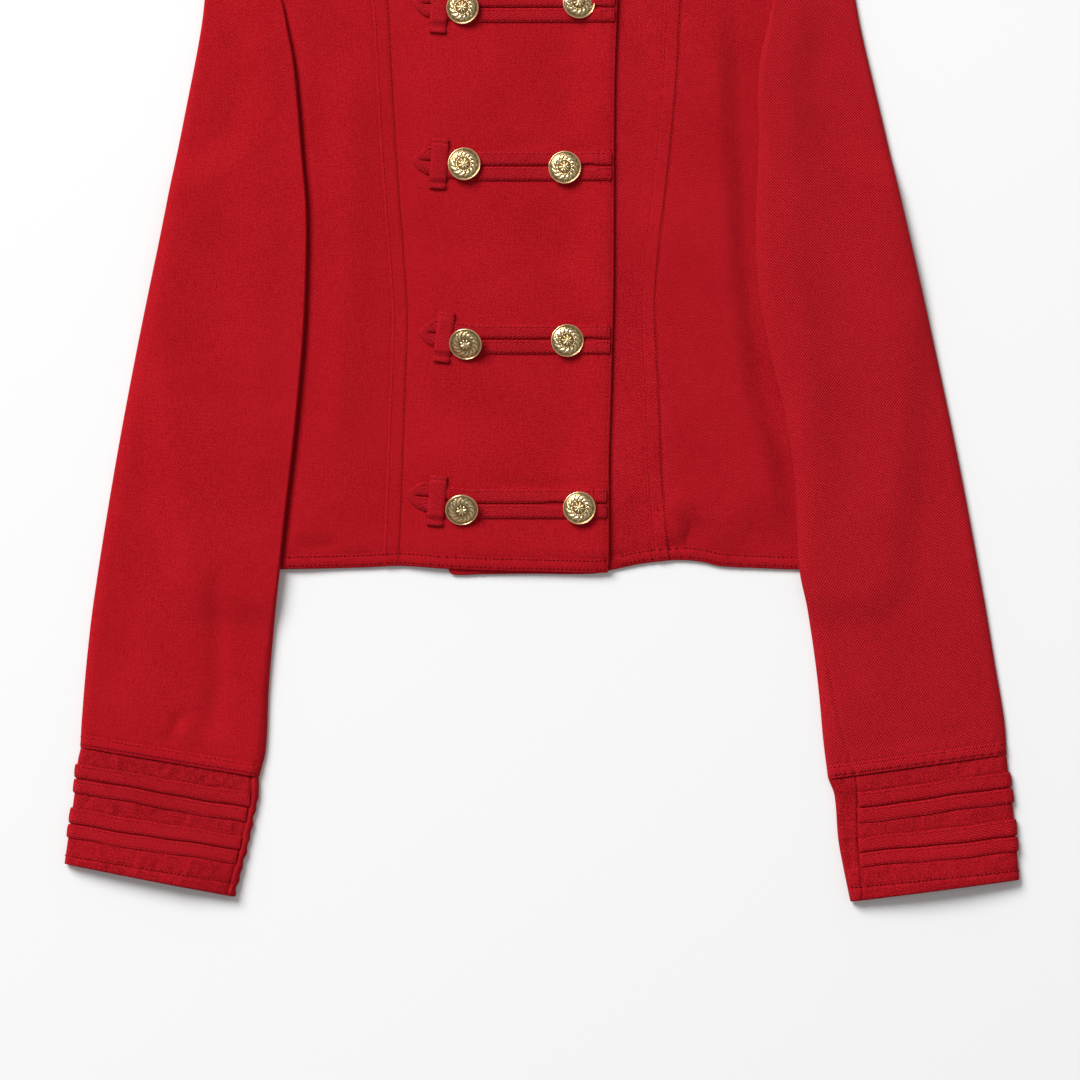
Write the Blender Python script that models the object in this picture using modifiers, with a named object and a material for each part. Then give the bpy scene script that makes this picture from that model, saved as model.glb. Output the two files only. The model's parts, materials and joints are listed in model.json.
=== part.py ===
"""A short double-breasted military style jacket of red wool twill, laid flat face up.

Lengths in this file are in millimetres and become metres where a mesh is made.
Across (x) is measured from the centre front, positive towards the wearer's left; height (y)
is measured from the front hem towards the neck; z is the height over the surface.
"""

import math

import bmesh
import bpy
from mathutils import Matrix, Vector

MM = 0.001

# Cloth and gaps
CLOTH = 1.2
TRIM = 1.0
GAP = 0.3
LAYER = CLOTH + GAP

# The body: half shoulder, neck and their places
NECK_HALF = 65.0
NECK_TOP = 450.2
FRONT_NECK_DEPTH = 73.5
BACK_NECK_DEPTH = 16.0
NECK_ROUNDNESS = 0.7
NECK_STOPS = (0.0, 0.14, 0.28, 0.42, 0.55, 0.67, 0.78, 0.87, 0.94, 0.985, 1.0)
BACK_NECK_STOPS = (-1.0, -0.95, -0.80, -0.55, -0.28, 0.0, 0.28, 0.55, 0.80, 0.95, 1.0)
SHOULDER_TOP = 408.5
SHOULDER_HALF = 177.5
LAP = 50.2
LAP_RISE = 10.5
BACK_HEM = 7.5
HEM_EDGE_LIFT = 0.15
HEM_SETTLE = (-2.5, 6.5)
LAP_SETTLE = (-84.0, -58.0)
LAP_FADE = (392.0, 424.0)
SIDE_HEIGHTS = (
    0.0, 30.0, 60.0, 90.0, 116.4, 150.0, 180.0, 205.0, 216.0, 221.0, 226.0, 233.0, 240.0, 248.0,
    257.3, 266.0, 276.0, 292.0, 312.4, 330.0, 349.1, 376.7, 408.5,
)
PANEL_ROWS = (
    0.0, 0.012, 0.026, 0.07, 0.15, 0.23, 0.31, 0.39, 0.45, 0.49, 0.505, 0.53, 0.56, 0.60, 0.64,
    0.69, 0.74, 0.80, 0.86, 0.93, 1.0,
)
SLEEVE_ROWS = (
    0.0, 0.02, 0.045, 0.07, 0.10, 0.13, 0.16, 0.19, 0.22, 0.26, 0.30, 0.34, 0.38, 0.42, 0.46, 0.50, 0.54,
    0.58, 0.62, 0.66, 0.70, 0.74, 0.78, 0.82, 0.88, 0.94, 1.0,
)
SHARP_ANGLE = 40.0

# Each table below gives a seam or an edge: height, across
RIGHT_PRINCESS = (
    (431.0, -120.7), (404.3, -108.4), (373.6, -99.8), (349.1, -96.2), (306.3, -93.7), (263.4, -91.3),
    (226.6, -88.8), (197.2, -86.4), (153.1, -83.9), (116.4, -85.1), (79.6, -86.4), (30.6, -88.2),
    (-5.0, -90.0),
)
LEFT_PRINCESS = (
    (431.0, 121.9), (404.3, 108.4), (373.6, 98.6), (349.1, 93.7), (305.0, 91.3), (263.4, 87.6),
    (238.9, 85.1), (197.2, 80.2), (165.4, 77.8), (140.9, 78.4), (104.1, 80.2), (55.1, 82.1),
    (-5.0, 87.5),
)
RIGHT_FRONT_EDGE = (
    (400.0, 54.4), (349.1, 53.9), (300.1, 52.3), (238.9, 51.9), (177.6, 51.7), (116.4, 50.3),
    (67.4, 48.9), (6.1, 48.8), (-3.0, 48.0),
)
LEFT_FRONT_EDGE = ((400.0, -50.2), (200.0, -50.2), (6.0, -50.2), (-1.0, -48.6), (-4.0, -46.0))
RIGHT_SIDE = (
    (408.5, -177.2), (376.7, -163.2), (349.1, -151.3), (330.0, -147.3), (312.4, -144.0), (292.0, -141.8),
    (276.0, -145.0), (257.3, -151.0), (240.0, -163.5), (226.0, -186.2), (216.0, -218.0), (205.0, -218.5),
    (150.0, -208.0), (116.4, -205.0), (55.1, -197.0), (-5.0, -189.3),
)
LEFT_SIDE = (
    (408.5, 177.2), (376.7, 163.2), (349.1, 150.1), (330.0, 145.6), (312.4, 141.5), (292.0, 139.9),
    (276.0, 143.5), (257.3, 150.0), (240.0, 166.0), (226.0, 190.0), (216.0, 224.0), (205.0, 225.0),
    (150.0, 216.0), (116.4, 213.0), (55.1, 207.0), (-5.0, 202.7),
)

# The hems: across, height
RIGHT_HEM = (
    (-200.0, -1.0), (-152.5, 0.4), (-128.0, 0.8), (-99.8, 1.6), (-78.0, 2.5), (-53.0, 0.8),
    (-21.4, -0.6), (6.1, -1.2), (40.0, -1.9), (56.0, -1.0),
)
LEFT_HEM = (
    (-56.0, -1.0), (-46.0, -3.0), (-30.0, -2.6), (0.0, -2.3), (38.0, -2.3), (50.5, 0.0), (60.0, 2.0),
    (68.0, 3.6), (80.2, 5.2), (92.5, 6.1), (106.0, 5.0), (117.0, 2.4), (140.0, 1.1), (165.0, 0.3),
    (215.0, 0.0),
)

# Sleeve edges from the shoulder point to the lap over the cuff: across, height
RIGHT_SLEEVE_OUTER = (
    (-189.0, 398.5), (-193.5, 384.0), (-197.0, 363.0), (-200.8, 330.7), (-211.3, 275.6), (-218.7, 238.9),
    (-226.0, 202.1), (-241.3, 128.6), (-254.8, 55.1), (-266.4, -18.4), (-270.7, -55.1), (-273.8, -91.9),
    (-274.7, -108.4),
)
RIGHT_SLEEVE_INNER = (
    (-177.8, 405.8), (-163.9, 376.7), (-152.0, 349.1), (-148.0, 330.0), (-145.0, 312.4), (-142.0, 290.0),
    (-138.4, 254.2), (-135.7, 222.3), (-135.7, 191.1), (-137.2, 148.8), (-139.7, 117.0), (-143.9, 74.7),
    (-148.8, 33.1), (-152.2, 0.6), (-156.5, -39.8), (-159.3, -73.5), (-161.1, -110.0), (-165.1, -126.8),
)
LEFT_SLEEVE_OUTER = (
    (189.0, 398.5), (193.5, 384.0), (197.5, 363.0), (203.2, 330.7), (216.2, 275.6), (224.8, 238.9),
    (233.4, 202.1), (250.0, 128.6), (265.2, 55.1), (278.7, -18.4), (284.8, -55.1), (290.9, -91.9),
    (292.5, -112.7),
)
LEFT_SLEEVE_INNER = (
    (177.8, 405.8), (163.9, 376.7), (150.9, 349.1), (146.5, 330.0), (142.4, 312.4), (140.7, 290.0),
    (140.3, 263.4), (138.4, 202.1), (140.9, 165.4), (148.2, 128.6), (155.6, 98.0), (162.3, 55.1),
    (165.4, 0.0), (170.3, -23.9), (174.6, -51.5), (177.6, -76.6), (180.1, -104.1), (183.1, -128.0),
)

# Cuff edges from the lap to the cuff's hem: across, height
RIGHT_CUFF_OUTER = (
    (-274.4, -109.0), (-276.2, -117.0), (-277.8, -133.5), (-280.2, -151.0), (-284.2, -179.5),
)
RIGHT_CUFF_INNER = (
    (-165.3, -127.6), (-165.4, -137.0), (-168.0, -150.1), (-171.0, -164.8), (-180.0, -199.7),
)
LEFT_CUFF_OUTER = (
    (292.2, -113.2), (293.4, -124.0), (296.0, -143.0), (297.8, -162.9), (300.1, -189.3),
)
LEFT_CUFF_INNER = (
    (183.6, -128.8), (187.0, -138.0), (189.3, -164.8), (192.9, -184.7), (196.6, -202.7),
)

# Cuff tapes, as shares of the cuff's depth: name, start and end at the outer edge, then at the seam
CUFF_TAPES = (
    ("tape_1", 0.140, 0.250, 0.130, 0.245),
    ("tape_2", 0.270, 0.380, 0.265, 0.372),
    ("tape_3", 0.520, 0.645, 0.502, 0.602),
    ("tape_4", 0.664, 0.770, 0.620, 0.722),
)

# The flat tube of a sleeve and of a cuff
CAP_HEIGHT = 3.1
SLEEVE_HEIGHT = 5.2
SLEEVE_CROWN = 0.6
CUFF_HEIGHT = 4.2
CUFF_CROWN = 0.6
TOP_ROUND = 3.2
FOOT_ROUND = 1.4
CAP_SHARE = 0.22
CLIMB_START = 0.06
CLIMB_END = 0.17
RAMP = (13.0, 38.0)
FOOT_TURN = 1.6
TAPE_TURN = 8

# How far the seam on top lies in from the inner edge: share of the length, distance
RIGHT_SLEEVE_SEAM = ((0.0, 4.5), (1.0, 4.5))
LEFT_SLEEVE_SEAM = ((0.0, 4.5), (0.80, 4.5), (0.88, 7.4), (0.94, 10.8), (1.0, 16.6))
RIGHT_CUFF_SEAM = ((0.0, 4.5), (1.0, 4.5))
LEFT_CUFF_SEAM = ((0.0, 16.4), (0.5, 13.5), (1.0, 7.4))

# Closures: name, height of the slit, tip across, tip rise, keeper across, keeper rise and tilt in degrees
CLOSURES = (
    ("1", 343.6, -71.0, 3.0, -54.8, 0.0, 4.0),
    ("2", 246.8, -71.8, 4.0, -55.0, 1.5, 4.2),
    ("3", 140.9, -67.8, 4.6, -51.8, 1.4, 6.5),
    ("4", 40.4, -75.3, 5.6, -56.3, 2.0, 5.2),
)
STRAP_END_INSET = 1.6
STRAP_HALF = 8.9
STRAP_HALF_SLIT = 0.35
POINT_LENGTH = 11.0
SLIT_END = 6.0
STRAP_RISE_RUN = 42.0
KEEPER_LENGTH = 31.0
KEEPER_WIDTH = 10.2
KEEPER_CLEAR = 1.6
KEEPER_STEP = 2.4

# Buttons: row, side, across, height, tilt in degrees, heading of the lean in degrees
BUTTONS = (
    ("1", "right", -39.8, 343.6, 10.0, 200.0),
    ("1", "left", 29.8, 346.3, 9.0, 20.0),
    ("2", "right", -39.5, 247.6, 4.0, 100.0),
    ("2", "left", 22.1, 245.7, 3.0, 150.0),
    ("3", "right", -38.2, 139.6, 20.0, 255.0),
    ("3", "left", 23.2, 140.1, 3.0, 0.0),
    ("4", "right", -41.1, 38.6, 20.0, 272.0),
    ("4", "left", 31.1, 37.9, 4.0, 180.0),
)
BUTTON_RADIUS = 10.15
BUTTON_RIM = 1.5
BUTTON_DOME = 1.9
SHANK_RADIUS = 2.6
SHANK_LENGTH = 3.2
BUTTON_STEPS = 20

# Stand collar
COLLAR_HEIGHT = 36.0
COLLAR_RISE = 4.6
COLLAR_OPEN = 0.8
COLLAR_LEAN = 14.0
COLLAR_SWING = 30.0
COLLAR_GAP = 0.6
SEAM_CLEAR = 0.4

# Soft ridges of the fronts: across, half width, height of the ridge, bottom, top
FRONT_RIDGES = (
    (-112.0, 15.0, 1.3, 30.0, 300.0),
    (-18.0, 26.0, 0.7, 60.0, 330.0),
    (112.0, 14.0, 2.0, 20.0, 290.0),
)
RIDGE_FADE = 60.0

RED = (0.445, 0.010, 0.021, 1.0)
TAPE_RED = (0.480, 0.012, 0.024, 1.0)
BRASS = (0.780, 0.560, 0.280, 1.0)


def clamp(value):
    return min(1.0, max(0.0, value))


def ease(low, high, value):
    """0 below low, 1 above high, and a soft step between them."""
    share = clamp((value - low) / (high - low))
    return share * share * (3.0 - 2.0 * share)


def along(table, value):
    """Second column of a table at a value of its first column, on a smooth curve through the rows."""
    rows = sorted(table)
    if value <= rows[0][0]:
        return rows[0][1]
    if value >= rows[-1][0]:
        return rows[-1][1]
    place = next(i for i in range(len(rows) - 1) if value <= rows[i + 1][0])
    slopes = []
    for i in (place, place + 1):
        before = rows[max(i - 1, 0)]
        after = rows[min(i + 1, len(rows) - 1)]
        slopes.append((after[1] - before[1]) / (after[0] - before[0]))
    (x0, y0), (x1, y1) = rows[place], rows[place + 1]
    step = x1 - x0
    t = (value - x0) / step
    rise = (2 * t**3 - 3 * t**2 + 1) * y0 + (3 * t**2 - 2 * t**3) * y1
    return rise + step * ((t**3 - 2 * t**2 + t) * slopes[0] + (t**3 - t**2) * slopes[1])


def edge_point(points, share):
    """The point at a share of the length of an edge, on a smooth curve through its points."""
    reached = [0.0]
    for before, after in zip(points, points[1:]):
        reached.append(reached[-1] + math.dist(before, after))
    length = share * reached[-1]
    return tuple(along([(r, p[i]) for r, p in zip(reached, points)], length) for i in (0, 1))


def mix(a, b, share):
    return tuple(p + (q - p) * share for p, q in zip(a, b))


# The stack of layers


def neck_height(x, depth):
    reach = clamp(1.0 - (x / NECK_HALF) ** 2)
    return NECK_TOP - depth * reach**NECK_ROUNDNESS


def shoulder_height(x):
    share = clamp((abs(x) - NECK_HALF) / (SHOULDER_HALF - NECK_HALF))
    return NECK_TOP + (SHOULDER_TOP - NECK_TOP) * share


def body_outline():
    """The outline of the laid body, round from the right hem corner."""
    right = [(along(RIGHT_SIDE, y), y) for y in SIDE_HEIGHTS]
    left = [(along(LEFT_SIDE, y), y) for y in reversed(SIDE_HEIGHTS)]
    return right + [(-NECK_HALF, NECK_TOP), (NECK_HALF, NECK_TOP)] + left


BODY_OUTLINE = body_outline()


def outside_body(x, y):
    """How far a point lies outside the body's outline, 0 inside it."""
    inside = False
    nearest = math.inf
    for (x0, y0), (x1, y1) in zip(BODY_OUTLINE, BODY_OUTLINE[1:] + BODY_OUTLINE[:1]):
        if (y0 > y) != (y1 > y) and x < x0 + (x1 - x0) * (y - y0) / (y1 - y0):
            inside = not inside
        run = (x1 - x0, y1 - y0)
        share = clamp(((x - x0) * run[0] + (y - y0) * run[1]) / (run[0] ** 2 + run[1] ** 2))
        nearest = min(nearest, math.dist((x, y), (x0 + share * run[0], y0 + share * run[1])))
    return 0.0 if inside else nearest


def lie(x, y):
    """How far the fronts stand off the back in soft ridges."""
    total = 0.0
    for across, half_width, height, bottom, top in FRONT_RIDGES:
        fade = ease(bottom - RIDGE_FADE / 2, bottom + RIDGE_FADE / 2, y)
        fade *= 1.0 - ease(top - RIDGE_FADE / 2, top + RIDGE_FADE / 2, y)
        total += fade * height * math.exp(-0.5 * ((x - across) / half_width) ** 2)
    return total


def left_front_foot(x, y):
    settle = ease(*HEM_SETTLE, y)
    return HEM_EDGE_LIFT + (LAYER - HEM_EDGE_LIFT) * settle + lie(x, y)


def right_front_foot(x, y):
    """As the left front's, and one layer higher where the left front lies under it."""
    return left_front_foot(x, y) + LAYER * ease(*LAP_SETTLE, x) * (1.0 - ease(*LAP_FADE, y))


def right_front_top(x, y):
    return right_front_foot(x, y) + CLOTH


def sleeve_foot(x, y, climb):
    """The sleeve lies on the fronts and comes down to the surface a little way outside the body."""
    return climb * (2.0 * LAYER + lie(x, y)) * (1.0 - ease(*RAMP, outside_body(x, y)))


# Meshes


def material(name, colour, roughness, metallic):
    made = bpy.data.materials.new(name)
    made.use_nodes = True
    shader = made.node_tree.nodes["Principled BSDF"]
    shader.inputs["Base Color"].default_value = colour
    shader.inputs["Roughness"].default_value = roughness
    shader.inputs["Metallic"].default_value = metallic
    return made


def keep(name, mesh, look):
    """Gives a mesh its object, material and shading, in the jacket's collection."""
    mesh.shade_smooth()
    mesh.set_sharp_from_angle(angle=math.radians(SHARP_ANGLE))
    made = bpy.data.objects.new(name, mesh)
    made.data.materials.append(look)
    made.parent = bpy.data.objects["jacket_place"]
    bpy.data.collections["military_style_jacket"].objects.link(made)
    return made


def shares(count):
    return [i / count for i in range(count + 1)]


def cloth_sheet(name, place, columns, rows, look, thickness=CLOTH, offset=-1.0, face_up=True):
    """A grid laid on place(column, row), with the cloth's wall under it."""
    shape = bmesh.new()
    bmesh.ops.create_grid(shape, x_segments=len(columns) - 1, y_segments=len(rows) - 1, size=1.0)
    for vertex in shape.verts:
        column = round((vertex.co.x + 1.0) / 2.0 * (len(columns) - 1))
        row = round((vertex.co.y + 1.0) / 2.0 * (len(rows) - 1))
        vertex.co = Vector(place(columns[column], rows[row])) * MM
    shape.normal_update()
    facing = sum(face.normal.z * face.calc_area() for face in shape.faces)
    if (facing > 0.0) != face_up:
        bmesh.ops.reverse_faces(shape, faces=shape.faces)
    mesh = bpy.data.meshes.new(name)
    shape.to_mesh(mesh)
    shape.free()
    made = keep(name, mesh, look)
    wall = made.modifiers.new("wall", "SOLIDIFY")
    wall.thickness = thickness * MM
    wall.offset = offset
    wall.use_even_offset = True
    return made


# Body panels


def panel_place(outer, inner, bottom, top, foot):
    """Places a grid between two side edges, a hem and a top line, and lays it on its foot.

    A column is its share of the way between the side edges and how far across its top end is.
    """

    def between(y, share):
        return outer(y) + (inner(y) - outer(y)) * share

    def place(column, row):
        share, top_x = column
        top_y, low_y = top(top_x), bottom(between(0.0, share))
        y = low_y + (top_y - low_y) * row
        x = between(y, share) + (top_x - between(top_y, share)) * row
        return x, y, foot(x, y) + CLOTH

    return place


def side_edge(table):
    return lambda y: along(table, y)


def columns_to(tops):
    """Columns whose top ends are at these places, each at its share of the way."""
    return [((x - tops[0]) / (tops[-1] - tops[0]), x) for x in tops]


def make_back(look):
    """The back lies flat on the surface: its outline, cut out of the cloth."""
    across = [stop * NECK_HALF for stop in BACK_NECK_STOPS]
    neck = [(x, neck_height(x, BACK_NECK_DEPTH)) for x in across]
    heights = (BACK_HEM,) + SIDE_HEIGHTS[1:]
    sides = [[(along(table, y), y) for y in heights] for table in (RIGHT_SIDE, LEFT_SIDE)]
    outline = sides[0] + neck + list(reversed(sides[1]))
    curve = bpy.data.curves.new("back", "CURVE")
    curve.dimensions = "2D"
    curve.fill_mode = "BOTH"
    curve.extrude = CLOTH / 2.0 * MM
    spline = curve.splines.new("POLY")
    spline.points.add(len(outline) - 1)
    for point, (x, y) in zip(spline.points, outline):
        point.co = (x * MM, y * MM, 0.0, 1.0)
    spline.use_cyclic_u = True
    made = bpy.data.objects.new("back", curve)
    made.data.materials.append(look)
    made.location.z = CLOTH / 2.0 * MM
    made.parent = bpy.data.objects["jacket_place"]
    bpy.data.collections["military_style_jacket"].objects.link(made)


def make_side_front(name, side, princess, hem, foot, sign, look):
    def inner(y):
        return along(princess, y) + sign * GAP / 2.0

    first, last = along(side, SHOULDER_TOP), inner(NECK_TOP)
    tops = [first + (last - first) * share for share in shares(9)]
    place = panel_place(side_edge(side), inner, lambda x: along(hem, x), shoulder_height, foot)
    cloth_sheet(name, place, columns_to(tops), PANEL_ROWS, look)


def make_centre_front(name, princess, edge, hem, foot, sign, look):
    """The panel from the princess seam past the centre front; its lap rises a little at the neck."""

    def outer(y):
        return along(princess, y) - sign * GAP / 2.0

    def top(x):
        outward = x * sign
        if outward > NECK_HALF:
            return shoulder_height(x)
        if outward > 0.0:
            return neck_height(x, FRONT_NECK_DEPTH)
        return NECK_TOP - FRONT_NECK_DEPTH + LAP_RISE * (outward / LAP) ** 2

    first, last = abs(outer(NECK_TOP)), -abs(along(edge, NECK_TOP))
    outwards = [first + (NECK_HALF - first) * share for share in shares(4)]
    outwards += [NECK_HALF * stop for stop in reversed(NECK_STOPS[:-1])]
    outwards += [last * share for share in (0.25, 0.5, 0.72, 0.88, 0.97, 1.0)]
    tops = [sign * outward for outward in outwards]
    place = panel_place(outer, side_edge(edge), lambda x: along(hem, x), top, foot)
    cloth_sheet(name, place, columns_to(tops), PANEL_ROWS, look)


# Sleeves and cuffs: flat tubes, each in an upper and an under piece.
# A point of a section is its distance from the outer edge, its height and the way the cloth faces.


def tube_top(distance, width, height, crown):
    half = width / 2.0 - TOP_ROUND
    return height + crown * clamp(1.0 - ((distance - width / 2.0) / half) ** 2)


def turn(distance, height, radius, degrees, side, up):
    """A point of a rounded edge: side is -1 at the outer edge, up is -1 under the middle of the edge."""
    angle = math.radians(degrees)
    facing = (side * math.cos(angle), up * math.sin(angle))
    return distance + radius * facing[0], height + radius * facing[1], *facing


def upper_ring(width, height, crown, seam_in):
    """From the seam on top over the top and round the outer edge to a little under it."""
    radius = min(TOP_ROUND, height - FOOT_ROUND)
    seam = width - seam_in
    ring = []
    for share in shares(6):
        distance = seam + (radius - seam) * share
        ring.append((distance, tube_top(distance, width, height, crown), 0.0, 1.0))
    ring += [turn(radius, height - radius, radius, angle, -1, 1) for angle in (60, 30, 0)]
    ring += [turn(FOOT_ROUND, FOOT_ROUND, FOOT_ROUND, angle, -1, -1) for angle in (45, 90)]
    return ring + [(FOOT_ROUND + FOOT_TURN, 0.0, 0.0, -1.0)]


def under_ring(width, height, crown, seam_in):
    """From just past the upper piece along the foot, round the inner edge and up to the seam on top."""
    radius = min(TOP_ROUND, height - FOOT_ROUND)
    start = FOOT_ROUND + FOOT_TURN + GAP
    end = width - FOOT_ROUND
    ring = [(start + (end - start) * share, 0.0, 0.0, -1.0) for share in shares(8)]
    ring.append(turn(width - FOOT_ROUND, FOOT_ROUND, FOOT_ROUND, 45, 1, -1))
    ring += [turn(width - radius, height - radius, radius, angle, 1, 1) for angle in (0, 30, 60, 90)]
    seam = width - seam_in + GAP
    return ring + [(seam, tube_top(seam, width, height, crown), 0.0, 1.0)]


def tube_place(outer, inner, ring_at, foot, lift=0.0):
    """Places a grid on the rings between two edges.

    A column is a place in the ring, a row a share of the length.
    """

    def place(column, row):
        start, end = edge_point(outer, row), edge_point(inner, row)
        width = math.dist(start, end)
        distance, z, side, up = ring_at(width, row)[column]
        x, y = mix(start, end, (distance + lift * side) / width)
        return x, y, foot(x, y, row) + z + lift * up

    return place


def sleeve_height(row):
    return CAP_HEIGHT + (SLEEVE_HEIGHT - CAP_HEIGHT) * ease(0.0, CAP_SHARE, row)


def make_sleeve(name, outer, inner, seam_table, look):
    def foot(x, y, row):
        return sleeve_foot(x, y, ease(CLIMB_START, CLIMB_END, row))

    def crown(row):
        return SLEEVE_CROWN * ease(0.0, CAP_SHARE, row)

    def upper(width, row):
        return upper_ring(width, sleeve_height(row), crown(row), along(seam_table, row))

    def under(width, row):
        return under_ring(width, sleeve_height(row), crown(row), along(seam_table, row))

    for part, ring_at, face_up in (("upper", upper, True), ("under", under, False)):
        count = len(ring_at(100.0, 1.0))
        place = tube_place(outer, inner, ring_at, foot)
        cloth_sheet(f"{name}_{part}", place, range(count), SLEEVE_ROWS, look, face_up=face_up)


def on_floor(x, y, row):
    return 0.0


def make_cuff(name, outer, inner, seam_table, look, tape_look):
    def upper(width, row):
        return upper_ring(width, CUFF_HEIGHT, CUFF_CROWN, along(seam_table, row))

    def under(width, row):
        return under_ring(width, CUFF_HEIGHT, CUFF_CROWN, along(seam_table, row))

    for part, ring_at, face_up in (("upper", upper, True), ("under", under, False)):
        count = len(ring_at(100.0, 1.0))
        place = tube_place(outer, inner, ring_at, on_floor)
        cloth_sheet(f"{name}_{part}", place, range(count), shares(6), look, face_up=face_up)
    for tape, *ends in CUFF_TAPES:
        make_tape(f"{name}_{tape}", outer, inner, upper, ends, tape_look)


def make_tape(name, outer, inner, ring_at, ends, look):
    """A tape that lies on the upper cuff, from its seam to its rounded outer edge."""

    def place(column, across):
        width = math.dist(edge_point(outer, ends[0]), edge_point(inner, ends[2]))
        distance = ring_at(width, ends[0])[column][0]
        slant = distance / width
        start = ends[0] + (ends[2] - ends[0]) * slant
        end = ends[1] + (ends[3] - ends[1]) * slant
        row = start + (end - start) * across
        return tube_place(outer, inner, ring_at, on_floor, GAP + TRIM)(column, row)

    cloth_sheet(name, place, range(TAPE_TURN + 1), shares(2), look, thickness=TRIM)


# Closures


def make_strap(row, look):
    """One strip folded to a point: two legs with the slit that is the buttonhole between them."""
    name, slit, tip, rise, *_ = row
    end = along(RIGHT_FRONT_EDGE, slit) - STRAP_END_INSET
    base = tip + POINT_LENGTH
    legs = [end + (base - end) * share for share in shares(7)]
    rail = [(x, 1.0, x) for x in legs] + [(tip, 0.0, tip + SLIT_END)]
    rail += [(x, -1.0, x) for x in reversed(legs)]

    def place(column, station):
        outer_x, side, inner_x = rail[station]
        x = outer_x if column else inner_x
        half = STRAP_HALF if column else STRAP_HALF_SLIT
        y = slit + side * half + rise * (1.0 - ease(tip, tip + STRAP_RISE_RUN, x))
        return x, y, right_front_top(x, y) + GAP + TRIM

    cloth_sheet(f"closure_strap_{name}", place, (0, 1), range(len(rail)), look, thickness=TRIM)


def make_keeper(row, look):
    """A short loop sewn down at both ends, with the strap passing under it."""
    name, slit, tip, rise, across, keeper_rise, tilt = row
    angle = math.radians(tilt)
    strap_rise = rise * (1.0 - ease(tip, tip + STRAP_RISE_RUN, across))

    def place(side, run):
        over_strap = 1.0 - ease(crest, knee, abs(run))
        x = across + side * math.cos(angle) + run * math.sin(angle)
        y = slit + strap_rise + run * math.cos(angle) - side * math.sin(angle)
        return x, y, right_front_top(x, y) + GAP + TRIM + (GAP + TRIM) * over_strap

    crest = STRAP_HALF + KEEPER_CLEAR
    knee = crest + KEEPER_STEP
    top = KEEPER_LENGTH / 2.0 + keeper_rise - strap_rise
    bottom = KEEPER_LENGTH - top
    runs = [-bottom, -(bottom + knee) / 2.0, -knee, -(knee + crest) / 2.0, -crest, -crest / 2.0, 0.0]
    runs += [crest / 2.0, crest, (knee + crest) / 2.0, knee, (top + knee) / 2.0, top]
    sides = (-KEEPER_WIDTH / 2.0, 0.0, KEEPER_WIDTH / 2.0)
    cloth_sheet(f"closure_keeper_{name}", place, sides, runs, look, thickness=TRIM)


def button_profile():
    """The outer side of a domed shank button, from the middle of its face to the foot of its shank."""
    under = SHANK_LENGTH
    rim = under + BUTTON_RIM
    points = [(0.0, rim + BUTTON_DOME), (5.2, rim + 0.74 * BUTTON_DOME), (8.6, rim)]
    points += [(9.3, rim + 0.35), (BUTTON_RADIUS, rim - 0.4), (9.6, under)]
    points += [(SHANK_RADIUS, under), (SHANK_RADIUS, 0.0), (0.0, 0.0)]
    return points


def make_button(row, look):
    closure, side, x, y, tilt, heading = row
    shape = bmesh.new()
    points = [shape.verts.new((r * MM, 0.0, z * MM)) for r, z in button_profile()]
    for before, after in zip(points, points[1:]):
        shape.edges.new((before, after))
    mesh = bpy.data.meshes.new(f"button_{side}_{closure}")
    shape.to_mesh(mesh)
    shape.free()
    made = keep(mesh.name, mesh, look)
    lean = math.radians(tilt)
    lift = GAP + SHANK_RADIUS * math.sin(lean)
    made.location = Vector((x, y, right_front_top(x, y) + GAP + TRIM + lift)) * MM
    way = math.radians(heading)
    axis = Vector((-math.sin(way), math.cos(way), 0.0))
    made.rotation_euler = Matrix.Rotation(lean, 3, axis).to_euler()
    turned = made.modifiers.new("turned", "SCREW")
    turned.steps = BUTTON_STEPS
    turned.render_steps = BUTTON_STEPS
    turned.use_merge_vertices = True
    turned.merge_threshold = 0.00001


# Stand collar


def above_neckline(x, depth):
    """The point of the collar's seam that faces a point of the neckline, square to it across the gap."""
    step = 0.1
    slope = (neck_height(x, depth) - neck_height(x - step, depth)) / step
    if abs(x) == NECK_HALF:
        slope = math.copysign(math.tan(math.radians(COLLAR_LEAN)), x)
    away = SEAM_CLEAR / math.hypot(1.0, slope)
    return x - slope * away, neck_height(x, depth) + away


def collar_stations():
    """The right arm from the centre front, the back of the neck and the left arm.

    A station is its point on the neckline, the lean of the band there, and its height at foot and top.
    """
    stations = []
    for sign, foot in ((-1, right_front_foot), (1, left_front_foot)):
        arm = []
        for stop in NECK_STOPS:
            share = math.asin(stop) * 2.0 / math.pi
            lean = COLLAR_SWING * math.sin(share * math.pi) + COLLAR_LEAN * share
            x, y = above_neckline(stop * NECK_HALF, FRONT_NECK_DEPTH)
            x = sign * max(x, COLLAR_GAP / 2.0)
            base = foot(x, y) + CLOTH / 2.0 + COLLAR_OPEN * share
            arm.append((x, y, -sign * lean, base, base + COLLAR_RISE))
        stations.append(arm)
    behind = []
    for stop in BACK_NECK_STOPS:
        x, y = above_neckline(stop * NECK_HALF, BACK_NECK_DEPTH)
        behind.append((x, y, -COLLAR_LEAN * stop, CLOTH / 2.0, CLOTH / 2.0))
    return stations[0], behind, stations[1]


def collar_point(station, share):
    x, y, lean, base, top = station
    reach = COLLAR_HEIGHT * share
    angle = math.radians(lean)
    return Vector((x + reach * math.sin(angle), y + reach * math.cos(angle), base + (top - base) * share))


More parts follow.
